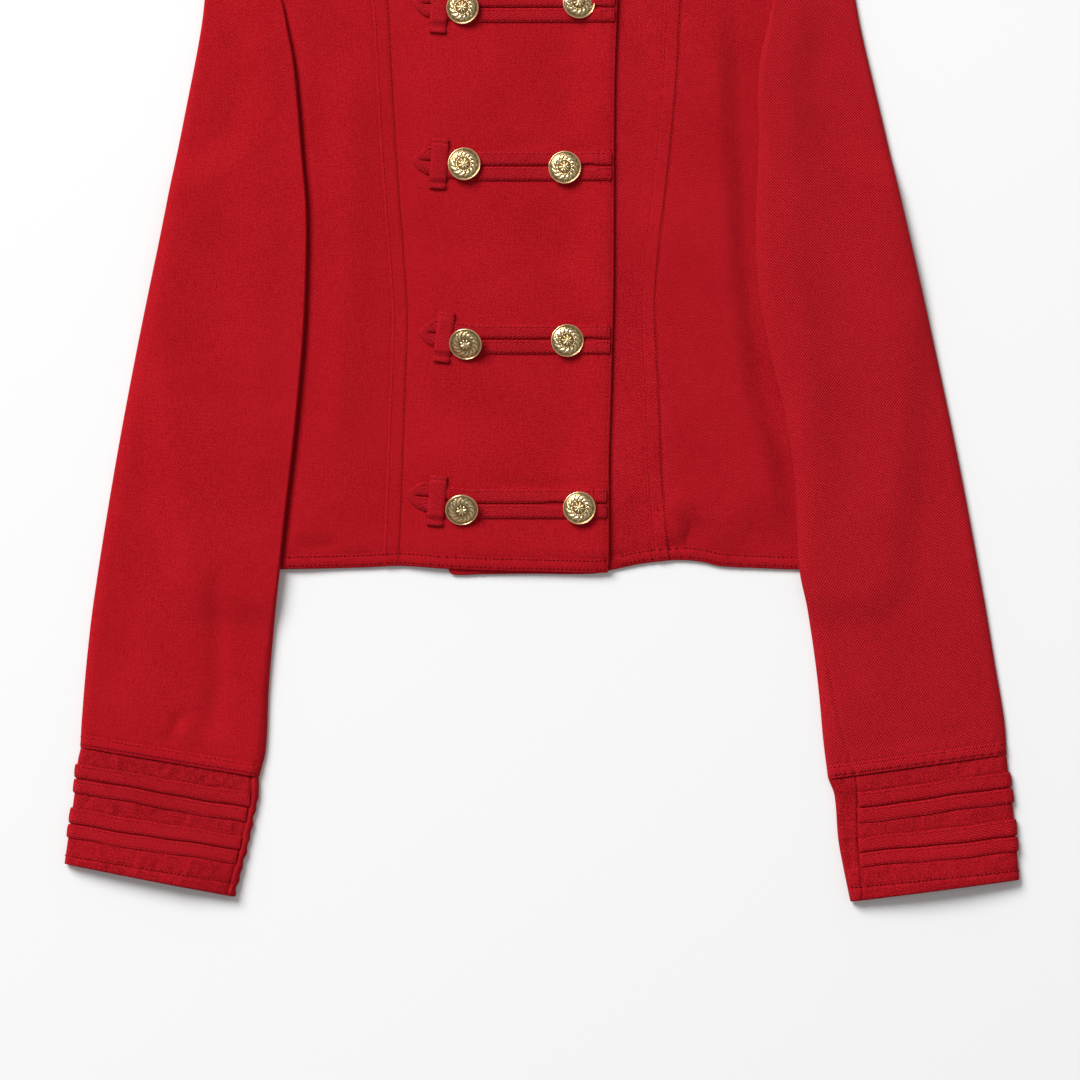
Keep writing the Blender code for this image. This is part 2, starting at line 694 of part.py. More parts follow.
def collar_fold(front, behind, sign):
    """The points where the band turns over at the side of the neck, between two stations."""

    def fold(degrees):
        def point(share):
            upper, lower = collar_point(front, share), collar_point(behind, share)
            radius = (upper.z - lower.z) / 2.0
            lean = math.radians(COLLAR_LEAN)
            out = Vector((sign * math.cos(lean), math.sin(lean), 0.0))
            angle = math.radians(degrees)
            middle = (upper + lower) / 2.0
            return middle + radius * (out * math.sin(angle) + Vector((0.0, 0.0, math.cos(angle))))

        return point

    return [fold(degrees) for degrees in (36, 72, 108, 144)]


def make_collar(look):
    right, behind, left = collar_stations()
    line = [lambda share, s=s: collar_point(s, share) for s in right]
    line += collar_fold(right[-1], behind[0], -1)
    line += [lambda share, s=s: collar_point(s, share) for s in behind]
    line += list(reversed(collar_fold(left[-1], behind[-1], 1)))
    line += [lambda share, s=s: collar_point(s, share) for s in reversed(left)]

    def place(station, share):
        return line[station](share)

    cloth_sheet("stand_collar", place, range(len(line)), shares(3), look, offset=0.0)


def centre_on_origin(place):
    """Moves the whole jacket so that the middle of its box is over the origin."""
    bpy.context.view_layer.update()
    graph = bpy.context.evaluated_depsgraph_get()
    corners = []
    for made in bpy.data.collections["military_style_jacket"].objects:
        shown = made.evaluated_get(graph)
        corners += [shown.matrix_world @ vertex.co for vertex in shown.to_mesh().vertices]
        shown.to_mesh_clear()
    for i in (0, 1):
        values = [corner[i] for corner in corners]
        place.location[i] = -(min(values) + max(values)) / 2.0


def main():
    for old in list(bpy.data.objects):
        bpy.data.objects.remove(old)
    parts = bpy.data.collections.new("military_style_jacket")
    bpy.context.scene.collection.children.link(parts)
    place = bpy.data.objects.new("jacket_place", None)
    bpy.context.scene.collection.objects.link(place)

    twill = material("red_twill", RED, 0.85, 0.0)
    tape = material("red_tape", TAPE_RED, 0.80, 0.0)
    brass = material("brass", BRASS, 0.35, 1.0)

    make_back(twill)
    right = (RIGHT_HEM, right_front_foot, -1, twill)
    left = (LEFT_HEM, left_front_foot, 1, twill)
    make_side_front("right_front_side", RIGHT_SIDE, RIGHT_PRINCESS, *right)
    make_side_front("left_front_side", LEFT_SIDE, LEFT_PRINCESS, *left)
    make_centre_front("right_front_centre", RIGHT_PRINCESS, RIGHT_FRONT_EDGE, *right)
    make_centre_front("left_front_centre", LEFT_PRINCESS, LEFT_FRONT_EDGE, *left)
    make_collar(twill)
    make_sleeve("right_sleeve", RIGHT_SLEEVE_OUTER, RIGHT_SLEEVE_INNER, RIGHT_SLEEVE_SEAM, twill)
    make_sleeve("left_sleeve", LEFT_SLEEVE_OUTER, LEFT_SLEEVE_INNER, LEFT_SLEEVE_SEAM, twill)
    make_cuff("right_cuff", RIGHT_CUFF_OUTER, RIGHT_CUFF_INNER, RIGHT_CUFF_SEAM, twill, tape)
    make_cuff("left_cuff", LEFT_CUFF_OUTER, LEFT_CUFF_INNER, LEFT_CUFF_SEAM, twill, tape)
    for row in CLOSURES:
        make_strap(row, tape)
        make_keeper(row, tape)
    for row in BUTTONS:
        make_button(row, brass)
    centre_on_origin(place)


main()
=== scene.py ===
# %% [markdown]
# # A short double-breasted jacket of red twill, laid flat
#
# The jacket lies face up on a pale table and is seen from straight above. Its plain solids are
# loaded first, as a fixed frame. Each piece of cloth is then made again as a fine sheet that
# follows the same pattern, with the folds, puckers, bands and stitches that the real one shows.
# Cloth can also be draped by a simulation, but this jacket lies still, and a fold that is placed
# one by one ends up where the photo has it.
#
# Lengths are in millimetres until a mesh is made. Across (x) runs from the centre front towards
# the wearer's left, height (y) from the front hem to the neck, and z up from the table.

# %% Load the frame
import math
import bmesh
import bpy
import numpy as np
from mathutils import Matrix, Vector
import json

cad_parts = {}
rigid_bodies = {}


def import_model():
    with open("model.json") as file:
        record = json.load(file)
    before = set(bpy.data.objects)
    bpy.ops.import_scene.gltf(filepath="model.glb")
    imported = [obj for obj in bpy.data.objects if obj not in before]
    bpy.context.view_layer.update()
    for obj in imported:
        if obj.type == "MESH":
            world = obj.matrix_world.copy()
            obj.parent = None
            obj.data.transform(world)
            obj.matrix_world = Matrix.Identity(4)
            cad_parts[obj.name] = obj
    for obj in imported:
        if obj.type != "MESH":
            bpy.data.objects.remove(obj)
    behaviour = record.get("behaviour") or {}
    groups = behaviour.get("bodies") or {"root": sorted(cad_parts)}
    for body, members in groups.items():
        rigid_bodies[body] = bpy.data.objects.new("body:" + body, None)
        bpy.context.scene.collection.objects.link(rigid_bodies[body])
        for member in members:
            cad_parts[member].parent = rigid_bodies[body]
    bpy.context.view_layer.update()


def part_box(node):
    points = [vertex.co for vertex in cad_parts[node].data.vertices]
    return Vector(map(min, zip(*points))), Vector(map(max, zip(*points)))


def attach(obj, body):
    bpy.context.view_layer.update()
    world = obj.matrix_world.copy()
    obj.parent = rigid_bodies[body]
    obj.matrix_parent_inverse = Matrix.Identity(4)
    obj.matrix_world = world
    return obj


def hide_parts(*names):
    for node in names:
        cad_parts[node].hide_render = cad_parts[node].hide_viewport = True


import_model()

# %% [markdown]
# Relief is built up from two shapes, a soft step and a soft hill. A term such as
# 0.3 * bump(x - 9.0, 2.0) reads: a hill 0.3 mm high, at x = 9 mm, about 4 mm wide. A sculpting
# brush would be quicker for one fold, but a formula can be corrected, and numpy works it out for
# all the points of a mesh at once.

# %% Steps and hills
MM = 0.001


def ease(low, high, value):
    """0 below low, 1 above high, and a soft step between them."""
    share = np.clip((value - low) / (high - low), 0.0, 1.0)
    return share * share * (3.0 - 2.0 * share)


def fall(low, high, value):
    """The same step downwards: 1 below low, 0 above high."""
    return 1.0 - ease(low, high, value)


def bump(value, half_width):
    """A soft hill, 1 at its middle."""
    return np.exp(-0.5 * (value / half_width) ** 2)


def together(*columns):
    """Columns of numbers, stretched to one shape, as the coordinates of points."""
    return np.stack(np.broadcast_arrays(*columns), axis=-1)


print("a hill 4 mm wide, at 0, 2 and 4 mm:", bump(np.array((0.0, 2.0, 4.0)), 2.0).round(2))

# %% [markdown]
# A pattern is a set of edges, and each edge here is a short table of measured places. A smooth
# curve through a few rows is easier to correct than a long list of points, and it gives as many
# points as a fine mesh needs.

# %% Reading a table
def along(table, value):
    """Second column of a table at values of its first column, on a smooth curve."""
    xs, ys = np.array(sorted(table), dtype=float).T
    before = np.maximum(np.arange(len(xs)) - 1, 0)
    after = np.minimum(np.arange(len(xs)) + 1, len(xs) - 1)
    slopes = (ys[after] - ys[before]) / (xs[after] - xs[before])
    value = np.clip(value, xs[0], xs[-1])
    i = np.clip(np.searchsorted(xs, value) - 1, 0, len(xs) - 2)
    step = xs[i + 1] - xs[i]
    t = (value - xs[i]) / step
    rise = (2 * t**3 - 3 * t**2 + 1) * ys[i] + (3 * t**2 - 2 * t**3) * ys[i + 1]
    return rise + step * ((t**3 - 2 * t**2 + t) * slopes[i] + (t**3 - t**2) * slopes[i + 1])


def edge_points(points, share):
    """Points at shares of the length of an edge; below 0 the edge runs straight on."""
    run = [math.dist(a, b) for a, b in zip(points, points[1:])]
    reached = np.concatenate([[0.0], np.cumsum(run)])
    place = share * reached[-1]
    found = []
    for i in (0, 1):
        slope = (points[1][i] - points[0][i]) / run[0]
        table = [(r, p[i]) for r, p in zip(reached, points)]
        found.append(along(table, place) + slope * np.minimum(place, 0.0))
    return found


def distance_run(points):
    """How far along a line each of its points lies."""
    return np.concatenate([[0.0], np.cumsum(np.linalg.norm(np.diff(points, axis=0), axis=-1))])


def spaced(*stretches):
    """Shares of a length, in steps that differ by stretch: (where it ends, its step)."""
    stops = [0.0]
    for end, step in stretches:
        start = stops[-1]
        count = max(1, round((end - start) / step))
        stops += [start + (end - start) * (i + 1) / count for i in range(count)]
    return np.array(stops) / stops[-1]


print("10 mm in steps of about 3 mm:", (10.0 * spaced((10.0, 3.0))).round(2))

# %% [markdown]
# The body of the jacket is a back and four front panels. The two princess seams run from the
# shoulders to the hem and give the waist its shape; the wearer's right front laps over the left.
# The edges are measured on the photo, and those above its top edge are guessed.

# %% The seams and edges of the fronts
# thickness of the cloth and of the trim, and the room between two layers
CLOTH = 1.2
TRIM = 1.0
GAP = 0.3
LAYER = CLOTH + GAP
NECK_HALF = 65.0
NECK_TOP = 450.2
FRONT_NECK_DEPTH = 73.5
BACK_NECK_DEPTH = 16.0
SHOULDER_TOP = 408.5
SHOULDER_HALF = 177.5
LAP = 50.2
LAP_RISE = 10.5
BACK_HEM = 7.5
BACK_REACH = 218.5
# shares of the half neckline at which the grids have a line of points
NECK_STOPS = (0.0, 0.14, 0.28, 0.42, 0.55, 0.67, 0.78, 0.87, 0.94, 0.985, 1.0)

# height, across
RIGHT_PRINCESS = (
    (431.0, -120.7), (404.3, -108.4), (373.6, -99.8), (349.1, -96.2), (306.3, -93.7),
    (263.4, -91.3), (226.6, -88.8), (197.2, -86.4), (153.1, -83.9), (116.4, -85.1),
    (79.6, -86.4), (30.6, -88.2), (-5.0, -90.0),
)
LEFT_PRINCESS = (
    (431.0, 121.9), (404.3, 108.4), (373.6, 98.6), (349.1, 93.7), (305.0, 91.3), (263.4, 87.6),
    (238.9, 85.1), (197.2, 80.2), (165.4, 77.8), (140.9, 78.4), (104.1, 80.2), (55.1, 82.1),
    (-5.0, 87.5),
)
RIGHT_FRONT_EDGE = (
    (400.0, 54.4), (349.1, 53.9), (300.1, 52.3), (238.9, 51.9), (177.6, 51.7), (116.4, 50.3),
    (67.4, 48.9), (6.1, 48.8), (-3.0, 48.0),
)
LEFT_FRONT_EDGE = ((400.0, -50.2), (200.0, -50.2), (6.0, -50.2), (-1.0, -48.6), (-4.0, -46.0))
print("the left front reaches %.0f mm past the centre, under the right one" % LAP)

# %% [markdown]
# Each side of the body follows the armhole down to the underarm, and from there the side seam. The
# hem waves by a few millimetres, because the jacket was laid down by hand.

# %% The sides and the hem
# height, across
RIGHT_SIDE = (
    (408.5, -177.2), (376.7, -163.2), (349.1, -151.3), (330.0, -147.3), (312.4, -144.0),
    (292.0, -141.8), (276.0, -145.0), (257.3, -151.0), (240.0, -163.5), (226.0, -186.2),
    (216.0, -218.0), (205.0, -218.5), (150.0, -208.0), (116.4, -205.0), (55.1, -197.0),
    (-5.0, -189.3),
)
LEFT_SIDE = (
    (408.5, 177.2), (376.7, 163.2), (349.1, 150.1), (330.0, 145.6), (312.4, 141.5), (292.0, 139.9),
    (276.0, 143.5), (257.3, 150.0), (240.0, 166.0), (226.0, 190.0), (216.0, 224.0), (205.0, 225.0),
    (150.0, 216.0), (116.4, 213.0), (55.1, 207.0), (-5.0, 202.7),
)
SIDE_HEIGHTS = (
    0.0, 30.0, 60.0, 90.0, 116.4, 150.0, 180.0, 205.0, 216.0, 221.0, 226.0, 233.0, 240.0, 248.0,
    257.3, 266.0, 276.0, 292.0, 312.4, 330.0, 349.1, 376.7, 408.5,
)
# across, height
RIGHT_HEM = (
    (-200.0, -1.0), (-152.5, 0.4), (-128.0, 0.8), (-99.8, 1.6), (-78.0, 2.5), (-53.0, 0.8),
    (-21.4, -0.6), (6.1, -1.2), (40.0, -1.9), (56.0, -1.0),
)
LEFT_HEM = (
    (-56.0, -1.0), (-46.0, -3.0), (-30.0, -2.6), (0.0, -2.3), (38.0, -2.3), (50.5, 0.0),
    (60.0, 2.0), (68.0, 3.6), (80.2, 5.2), (92.5, 6.1), (106.0, 5.0), (117.0, 2.4),
    (140.0, 1.1), (165.0, 0.3), (215.0, 0.0),
)

# The pattern's origin is the centre front at the hem; the back's box tells where that is.
back_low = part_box("back")[0]
SHIFT = np.array([back_low[0] / MM + BACK_REACH, back_low[1] / MM - BACK_HEM, 0.0])
print("the pattern's origin is at", SHIFT.round(2), "mm")

# %% [markdown]
# A sleeve is a flattened tube. It is described by its outer and its inner edge, from the shoulder
# to the place where it laps over the cuff, and the cuff goes on from there. The two sleeves lie at
# different angles in the photo, so neither is a mirrored copy of the other.

# %% The edges of the sleeves and the cuffs
# across, height
RIGHT_SLEEVE_OUTER = (
    (-189.0, 398.5), (-193.5, 384.0), (-197.0, 363.0), (-200.8, 330.7), (-211.3, 275.6),
    (-218.7, 238.9), (-226.0, 202.1), (-241.3, 128.6), (-254.8, 55.1), (-266.4, -18.4),
    (-270.7, -55.1), (-273.8, -91.9), (-274.7, -108.4),
)
RIGHT_SLEEVE_INNER = (
    (-177.4, 405.8), (-163.2, 376.7), (-151.2, 349.1), (-147.2, 330.0), (-143.8, 312.4),
    (-141.3, 290.0), (-138.4, 254.2), (-135.7, 222.3), (-135.7, 191.1), (-137.2, 148.8),
    (-139.7, 117.0), (-143.9, 74.7), (-148.8, 33.1), (-152.2, 0.6), (-156.5, -39.8),
    (-159.3, -73.5), (-161.1, -110.0), (-165.1, -126.8),
)
LEFT_SLEEVE_OUTER = (
    (189.0, 398.5), (193.5, 384.0), (197.5, 363.0), (203.2, 330.7), (216.2, 275.6), (224.8, 238.9),
    (233.4, 202.1), (250.0, 128.6), (265.2, 55.1), (278.7, -18.4), (284.8, -55.1), (290.9, -91.9),
    (292.5, -112.7),
)
LEFT_SLEEVE_INNER = (
    (177.4, 405.8), (163.2, 376.7), (150.0, 349.1), (145.5, 330.0), (141.3, 312.4), (139.6, 290.0),
    (140.3, 263.4), (138.4, 202.1), (140.9, 165.4), (148.2, 128.6), (155.6, 98.0), (162.3, 55.1),
    (165.4, 0.0), (170.3, -23.9), (174.6, -51.5), (177.6, -76.6), (180.1, -104.1), (183.1, -128.0),
)
RIGHT_CUFF_OUTER = (
    (-274.4, -109.0), (-276.2, -117.0), (-277.8, -133.5), (-280.2, -151.0), (-284.2, -179.5),
)
RIGHT_CUFF_INNER = (
    (-165.3, -127.6), (-165.4, -137.0), (-168.0, -150.1), (-171.0, -164.8), (-180.0, -199.7),
)
LEFT_CUFF_OUTER = (
    (292.2, -113.2), (293.4, -124.0), (296.0, -143.0), (297.8, -162.9), (300.1, -189.3),
)
LEFT_CUFF_INNER = (
    (183.6, -128.8), (187.0, -138.0), (189.3, -164.8), (192.9, -184.7), (196.6, -202.7),
)
for label, edge in (("right", RIGHT_SLEEVE_OUTER), ("left", LEFT_SLEEVE_OUTER)):
    print(f"outer edge of the {label} sleeve: {sum(map(math.dist, edge, edge[1:])):.0f} mm")

# %% [markdown]
# The neckline and the shoulder seams close the body at the top. A sleeve lies partly on the body
# and partly on the table, so it also has to be known how far a place lies outside the body.

# %% The outline of the body
NECK_CURVE = 0.7


def neck_height(x, depth):
    """The neckline of the front or the back, by its depth."""
    reach = np.clip(1.0 - (x / NECK_HALF) ** 2, 0.0, 1.0)
    return NECK_TOP - depth * reach**NECK_CURVE


def shoulder_height(x):
    """The shoulder seam slopes down from the side of the neck."""
    share = np.clip((np.abs(x) - NECK_HALF) / (SHOULDER_HALF - NECK_HALF), 0.0, 1.0)
    return NECK_TOP + (SHOULDER_TOP - NECK_TOP) * share


def body_outline():
    """The edge of the whole body: up one side, across the top and down the other."""
    right = [(float(along(RIGHT_SIDE, y)), y) for y in SIDE_HEIGHTS]
    left = [(float(along(LEFT_SIDE, y)), y) for y in reversed(SIDE_HEIGHTS)]
    return right + [(-NECK_HALF, NECK_TOP), (NECK_HALF, NECK_TOP)] + left


def outside_body(x, y):
    """How far points lie outside the body's outline, 0 inside it."""
    outline = body_outline()
    inside = np.zeros(x.shape, dtype=bool)
    nearest = np.full(x.shape, np.inf)
    for (x0, y0), (x1, y1) in zip(outline, outline[1:] + outline[:1]):
        if y0 != y1:
            crosses = ((y0 > y) != (y1 > y)) & (x < x0 + (x1 - x0) * (y - y0) / (y1 - y0))
            inside ^= crosses
        run = (x1 - x0, y1 - y0)
        share = ((x - x0) * run[0] + (y - y0) * run[1]) / (run[0] ** 2 + run[1] ** 2)
        share = np.clip(share, 0.0, 1.0)
        nearest = np.minimum(nearest, np.hypot(x - x0 - share * run[0], y - y0 - share * run[1]))
    return np.where(inside, 0.0, nearest)


print("corners of the body's outline:", len(body_outline()))

# %% [markdown]
# Laid flat, the jacket is a stack: the back on the table, the left front on it, the right front on
# that, and the sleeves on the fronts. These functions give the foot of each layer, so every piece
# above it can be placed by adding a cloth's thickness.

# %% The stack of layers
HEM_EDGE_LIFT = 0.15
# where the fronts settle on the back, the right front on the left one, and the sleeves on the table
HEM_SETTLE = (-2.5, 6.5)
LAP_SETTLE = (-84.0, -58.0)
LAP_FADE = (392.0, 424.0)
RAMP = (13.0, 38.0)
# across, half width, height of the ridge, bottom, top
FRONT_RIDGES = (
    (-112.0, 15.0, 1.3, 30.0, 300.0),
    (-18.0, 26.0, 0.7, 60.0, 330.0),
    (112.0, 14.0, 2.0, 20.0, 290.0),
)
RIDGE_FADE = 60.0


def lie(x, y, ridges=FRONT_RIDGES):
    """The long soft ridges in which the fronts lie on the back."""
    half = RIDGE_FADE / 2
    total = 0.0
    for across, half_width, height, bottom, top in ridges:
        fade = ease(bottom - half, bottom + half, y) * fall(top - half, top + half, y)
        total = total + fade * height * bump(x - across, half_width)
    return total


def front_foot(x, y, side):
    """side is -1 on the right front, which lies on the left one from the lap on."""
    foot = HEM_EDGE_LIFT + (LAYER - HEM_EDGE_LIFT) * ease(*HEM_SETTLE, y) + lie(x, y)
    if side < 0:
        foot = foot + LAYER * ease(*LAP_SETTLE, x) * fall(*LAP_FADE, y)
    return foot


print("foot of the right front on the lap: %.1f mm" % front_foot(0.0, 190.0, -1))

# %% [markdown]
# Cloth that has been worn and folded never lies quite flat. The main folds are placed one by one
# from the photo, each as a line with a width and a height: a ridge stands up, a trough goes down.
# They differ in length, width and height, because even ripples look like corrugated iron.

# %% Folds of the body
# points (across, height), half width, height
BODY_FOLDS = (
    (((107, 33), (103, 25), (99.5, 16), (97, 7)), 4.0, -2.3),
    (((134, 46), (126, 31), (119, 11)), 7.0, 0.9),
    (((91, 52), (89, 32), (88, 10)), 6.0, 2.0),
    (((58, 42), (72, 38), (86, 33)), 5.0, -1.0),
    (((62, 66), (75, 76), (84, 98)), 9.0, 0.8),
    (((70, 330), (67, 270), (66, 200), (69, 120)), 8.0, -0.8),
    (((-104, 330), (-108, 250), (-110, 170), (-116, 90), (-120, 60)), 9.0, 0.8),
    (((-128, 320), (-124, 240), (-124, 160), (-130, 110), (-135, 70)), 8.0, -0.8),
    (((-150, 15), (-132, 13), (-112, 15)), 4.0, -1.3),
    (((-70, 225), (-52, 200), (-24, 186)), 8.0, -0.9),
    (((-62, 120), (-30, 98), (8, 82), (38, 60)), 10.0, -1.0),
    (((-4, 222), (14, 196), (36, 180)), 7.0, -0.9),
    (((8, 328), (20, 296), (30, 268)), 8.0, -0.9),
    (((-60, 310), (-40, 290), (-12, 280)), 10.0, 0.4),
    (((-66, 76), (-44, 66), (-10, 62)), 8.0, 0.45),
    (((20, 259), (34, 256), (48, 258)), 2.6, -0.9),
    (((22, 152), (34, 150), (47, 152)), 2.6, -0.7),
    (((-34, 53), (0, 51), (30, 52), (46, 50)), 3.0, -0.8),
    (((-18, 262), (-2, 260), (16, 261)), 3.0, -0.5),
)
print("folds placed on the body:", len(BODY_FOLDS))

# %% [markdown]
# A fold is a soft hill across its line and dies away at both its ends. The small waves along a
# seam are a sine whose phase and height wander, so that it doesn't look machine-made.

# %% The shape of a fold
# how much of a fold's length its ends take, in mm and as a share
FOLD_END = 30.0
FOLD_END_SHARE = 0.35


def fold(x, y, points, half_width, height):
    """Height of one soft ridge or trough that follows a line and dies away at both its ends."""
    nearest, place, reached = np.full(x.shape, np.inf), np.zeros(x.shape), 0.0
    for (x0, y0), (x1, y1) in zip(points, points[1:]):
        length = math.hypot(x1 - x0, y1 - y0)
        share = np.clip(((x - x0) * (x1 - x0) + (y - y0) * (y1 - y0)) / length**2, 0.0, 1.0)
        distance = np.hypot(x - x0 - share * (x1 - x0), y - y0 - share * (y1 - y0))
        place = np.where(distance < nearest, reached + share * length, place)
        nearest = np.minimum(nearest, distance)
        reached += length
    fade = min(FOLD_END, FOLD_END_SHARE * reached)
    ends = ease(0.0, fade, place) * fall(reached - fade, reached, place)
    return height * ends * bump(nearest, half_width)


def folds(x, y, table):
    """All the folds of a table together."""
    return sum(fold(x, y, *row) for row in table)


def ripple(run, offset, length, seed):
    """Uneven small waves along a seam: no two are alike, and none repeats within a hand's width."""
    wander = 1.3 * np.sin(run / 17.3 + seed) + 0.9 * np.sin(run / 7.1 + 2.0 * seed)
    swell = 0.55 + 0.45 * np.sin(run / 11.7 + 3.1 * seed) * np.sin(run / 29.0 + seed)
    return swell * np.sin(2.0 * math.pi * (run + 0.35 * offset) / length + wander)


print("five points of a seam's waves:", ripple(np.arange(5.0), 0.0, 5.3, 1.0).round(2))

# %% [markdown]
# A princess seam of this kind is pressed to one side and stitched twice, so it stands up as a
# narrow band; the hem and the front edge are turned in and stitched down. Thread pulls the cloth
# in a little at every stitch, and the cloth between two rows puffs up. The real height of all this
# is well under a millimetre, but a low light shows it, so it is put into the mesh. A picture of
# bumps would do from far off, but it can't throw a shadow.

# %% Seams, hems and the front edge
# the band beside a princess seam, and the rows of stitches of band, hem and front edge
BAND = 9.2
BAND_STITCH = 1.5
HEM_ROWS = (2.1, 7.4)
EDGE_ROW = 1.9
# how high the front edge and the hem stand
EDGE_STAND = 2.3
HEM_LIFT = 1.3
# the left front's hem is pressed flat up to here, under the lap
HEM_UNDER_LAP = 46.0
# how far a panel stops short of its seam's line
SEAM_SHUT = 0.02


def seam_band(distance, width):
    """A turned and stitched band that starts at an edge: puffed, with a dent under each row."""
    puff = 0.5 * ease(0.0, 1.6, distance) * fall(width - 0.2, width + 1.4, distance)
    return puff - 0.35 * bump(distance - width - 0.3, 0.9)


def princess_relief(from_seam, y):
    """The band beside a princess seam, the dent at the seam and the small waves of both."""
    band = seam_band(from_seam, BAND)
    band = band + 0.2 * ripple(y, from_seam, 5.3, 1.0) * bump(from_seam - BAND, 2.6)
    dent = -0.18 * bump(from_seam, 0.8)
    dent = dent + 0.16 * ripple(y, -from_seam, 4.7, 3.0) * bump(from_seam - 1.0, 2.0)
    return np.where(from_seam > 0.0, band, 0.0) + dent


def hem_relief(x, hem, side):
    """The turned hem with its two rows; under the lap it is pressed flat."""
    turned = 1.3 * seam_band(hem, HEM_ROWS[1]) - 0.4 * bump(hem - HEM_ROWS[0], 0.7)
    turned = turned + 0.3 * ripple(x, hem, 5.7, 2.0 + side) * fall(7.0, 14.0, hem)
    return np.where((x < HEM_UNDER_LAP) & (side > 0), np.minimum(turned, 0.1), turned)


def lap_edge_relief(x, y, hem):
    """The right front's free edge: turned in and stitched, it stands up a little on the lap."""
    from_edge = along(RIGHT_FRONT_EDGE, y) - x
    relief = 0.3 * ease(-0.4, 0.8, from_edge) - 0.3 * bump(from_edge - EDGE_ROW - 0.2, 0.6)
    relief = relief + 0.16 * ripple(y, from_edge, 5.6, 4.0) * fall(5.0, 9.0, from_edge)
    relief = relief + EDGE_STAND * fall(4.0, 30.0, from_edge) * ease(-2.0, 14.0, hem)
    return relief - 0.35 * bump(from_edge, 0.4)


print("the band beside a princess seam is %.1f mm wide" % BAND)

# %% [markdown]
# A front's face is its layer's foot, the cloth's thickness, its folds and its seams. The sleeves
# lie on it: beside the wearer's right sleeve it makes a low bank, and towards the left one it
# swells and then dips, as the sleeve holds it down.

# %% The surface of the fronts
DIP = 3.8
# height, across: the middle of the slope where the left front dips to its sleeve
DIP_LINE = (
    (20.0, 160.0), (43.0, 156.0), (73.0, 148.5), (104.0, 137.0), (135.0, 133.0), (165.0, 129.5),
    (196.0, 126.5), (227.0, 124.5), (280.0, 122.0), (370.0, 120.0),
)


def sleeve_edge(y, side):
    """Where a sleeve's inner edge lies over the front at a height."""
    table = RIGHT_SLEEVE_INNER if side < 0 else LEFT_SLEEVE_INNER
    return along([(high, across) for across, high in table], y)


def beside_sleeve(x, y, side):
    """The left front swells and then dips to its sleeve; the right one makes a low bank."""
    if side < 0:
        outside = x - sleeve_edge(y, side)
        return 1.2 * ease(0.2, 4.0, outside) * fall(6.0, 42.0, outside)
    swell = DIP * ease(20.0, 112.0, x) * fall(-8.0, 8.0, x - along(DIP_LINE, y))
    return (swell - lie(x, y, FRONT_RIDGES[2:])) * ease(14.0, 50.0, y) * fall(300.0, 370.0, y)


def front_top_line(x, side):
    """The neckline and the shoulder seam, and the lap's own rise past the centre."""
    outward = x * side
    lap = NECK_TOP - FRONT_NECK_DEPTH + LAP_RISE * (np.minimum(outward, 0.0) / LAP) ** 2
    neck = np.where(outward > 0.0, neck_height(x, FRONT_NECK_DEPTH), lap)
    return np.where(outward > NECK_HALF, shoulder_height(x), neck)


def front_surface(x, y, side):
    """Height of a front's face: the layer it lies on, its folds, and its seams and edges."""
    x, y = np.broadcast_arrays(np.asarray(x, dtype=float), np.asarray(y, dtype=float))
    hem = y - along(RIGHT_HEM if side < 0 else LEFT_HEM, x)
    from_seam = (along(RIGHT_PRINCESS if side < 0 else LEFT_PRINCESS, y) - x) * side
    past_sleeve = (x - sleeve_edge(y, side)) * side
    clear = fall(-9.0, 2.0, past_sleeve) if side < 0 else fall(-17.0, -3.0, past_sleeve)
    free = clear * ease(3.0, 16.0, hem) * ease(4.0, 24.0, front_top_line(x, side) - y)
    loft = 0.9 + 0.25 * np.sin(x / 31.0 + y / 47.0) + 0.2 * np.sin(y / 23.0 - x / 61.0)
    relief = free * np.maximum(loft + folds(x, y, BODY_FOLDS), -0.2) + beside_sleeve(x, y, side)
    relief = relief + princess_relief(from_seam, y) + hem_relief(x, hem, side)
    if side < 0:
        relief = relief + lap_edge_relief(x, y, hem)
    relief = relief - 0.4 * bump(hem, 0.7)
    return front_foot(x, y, side) + HEM_LIFT * fall(*HEM_SETTLE, y) + CLOTH + relief


def on_front(x, y, side, lift=0.0):
    """Points on a front's face, or lifted off it."""
    return together(x, y, front_surface(x, y, side) + lift)


print("face of the right front, between two closures: %.1f mm" % front_surface(0.0, 190.0, -1))

# %% [markdown]
# Each piece of cloth starts as a flat grid. Every corner of the grid is then put where the pattern
# wants it, and Solidify gives the sheet its thickness, as the edge of a real panel shows. A UV map
# keeps the place that each point had on the uncut cloth, so the weave follows the grain of the
# piece and turns with it, and the cut piece's size and area can be read from it.

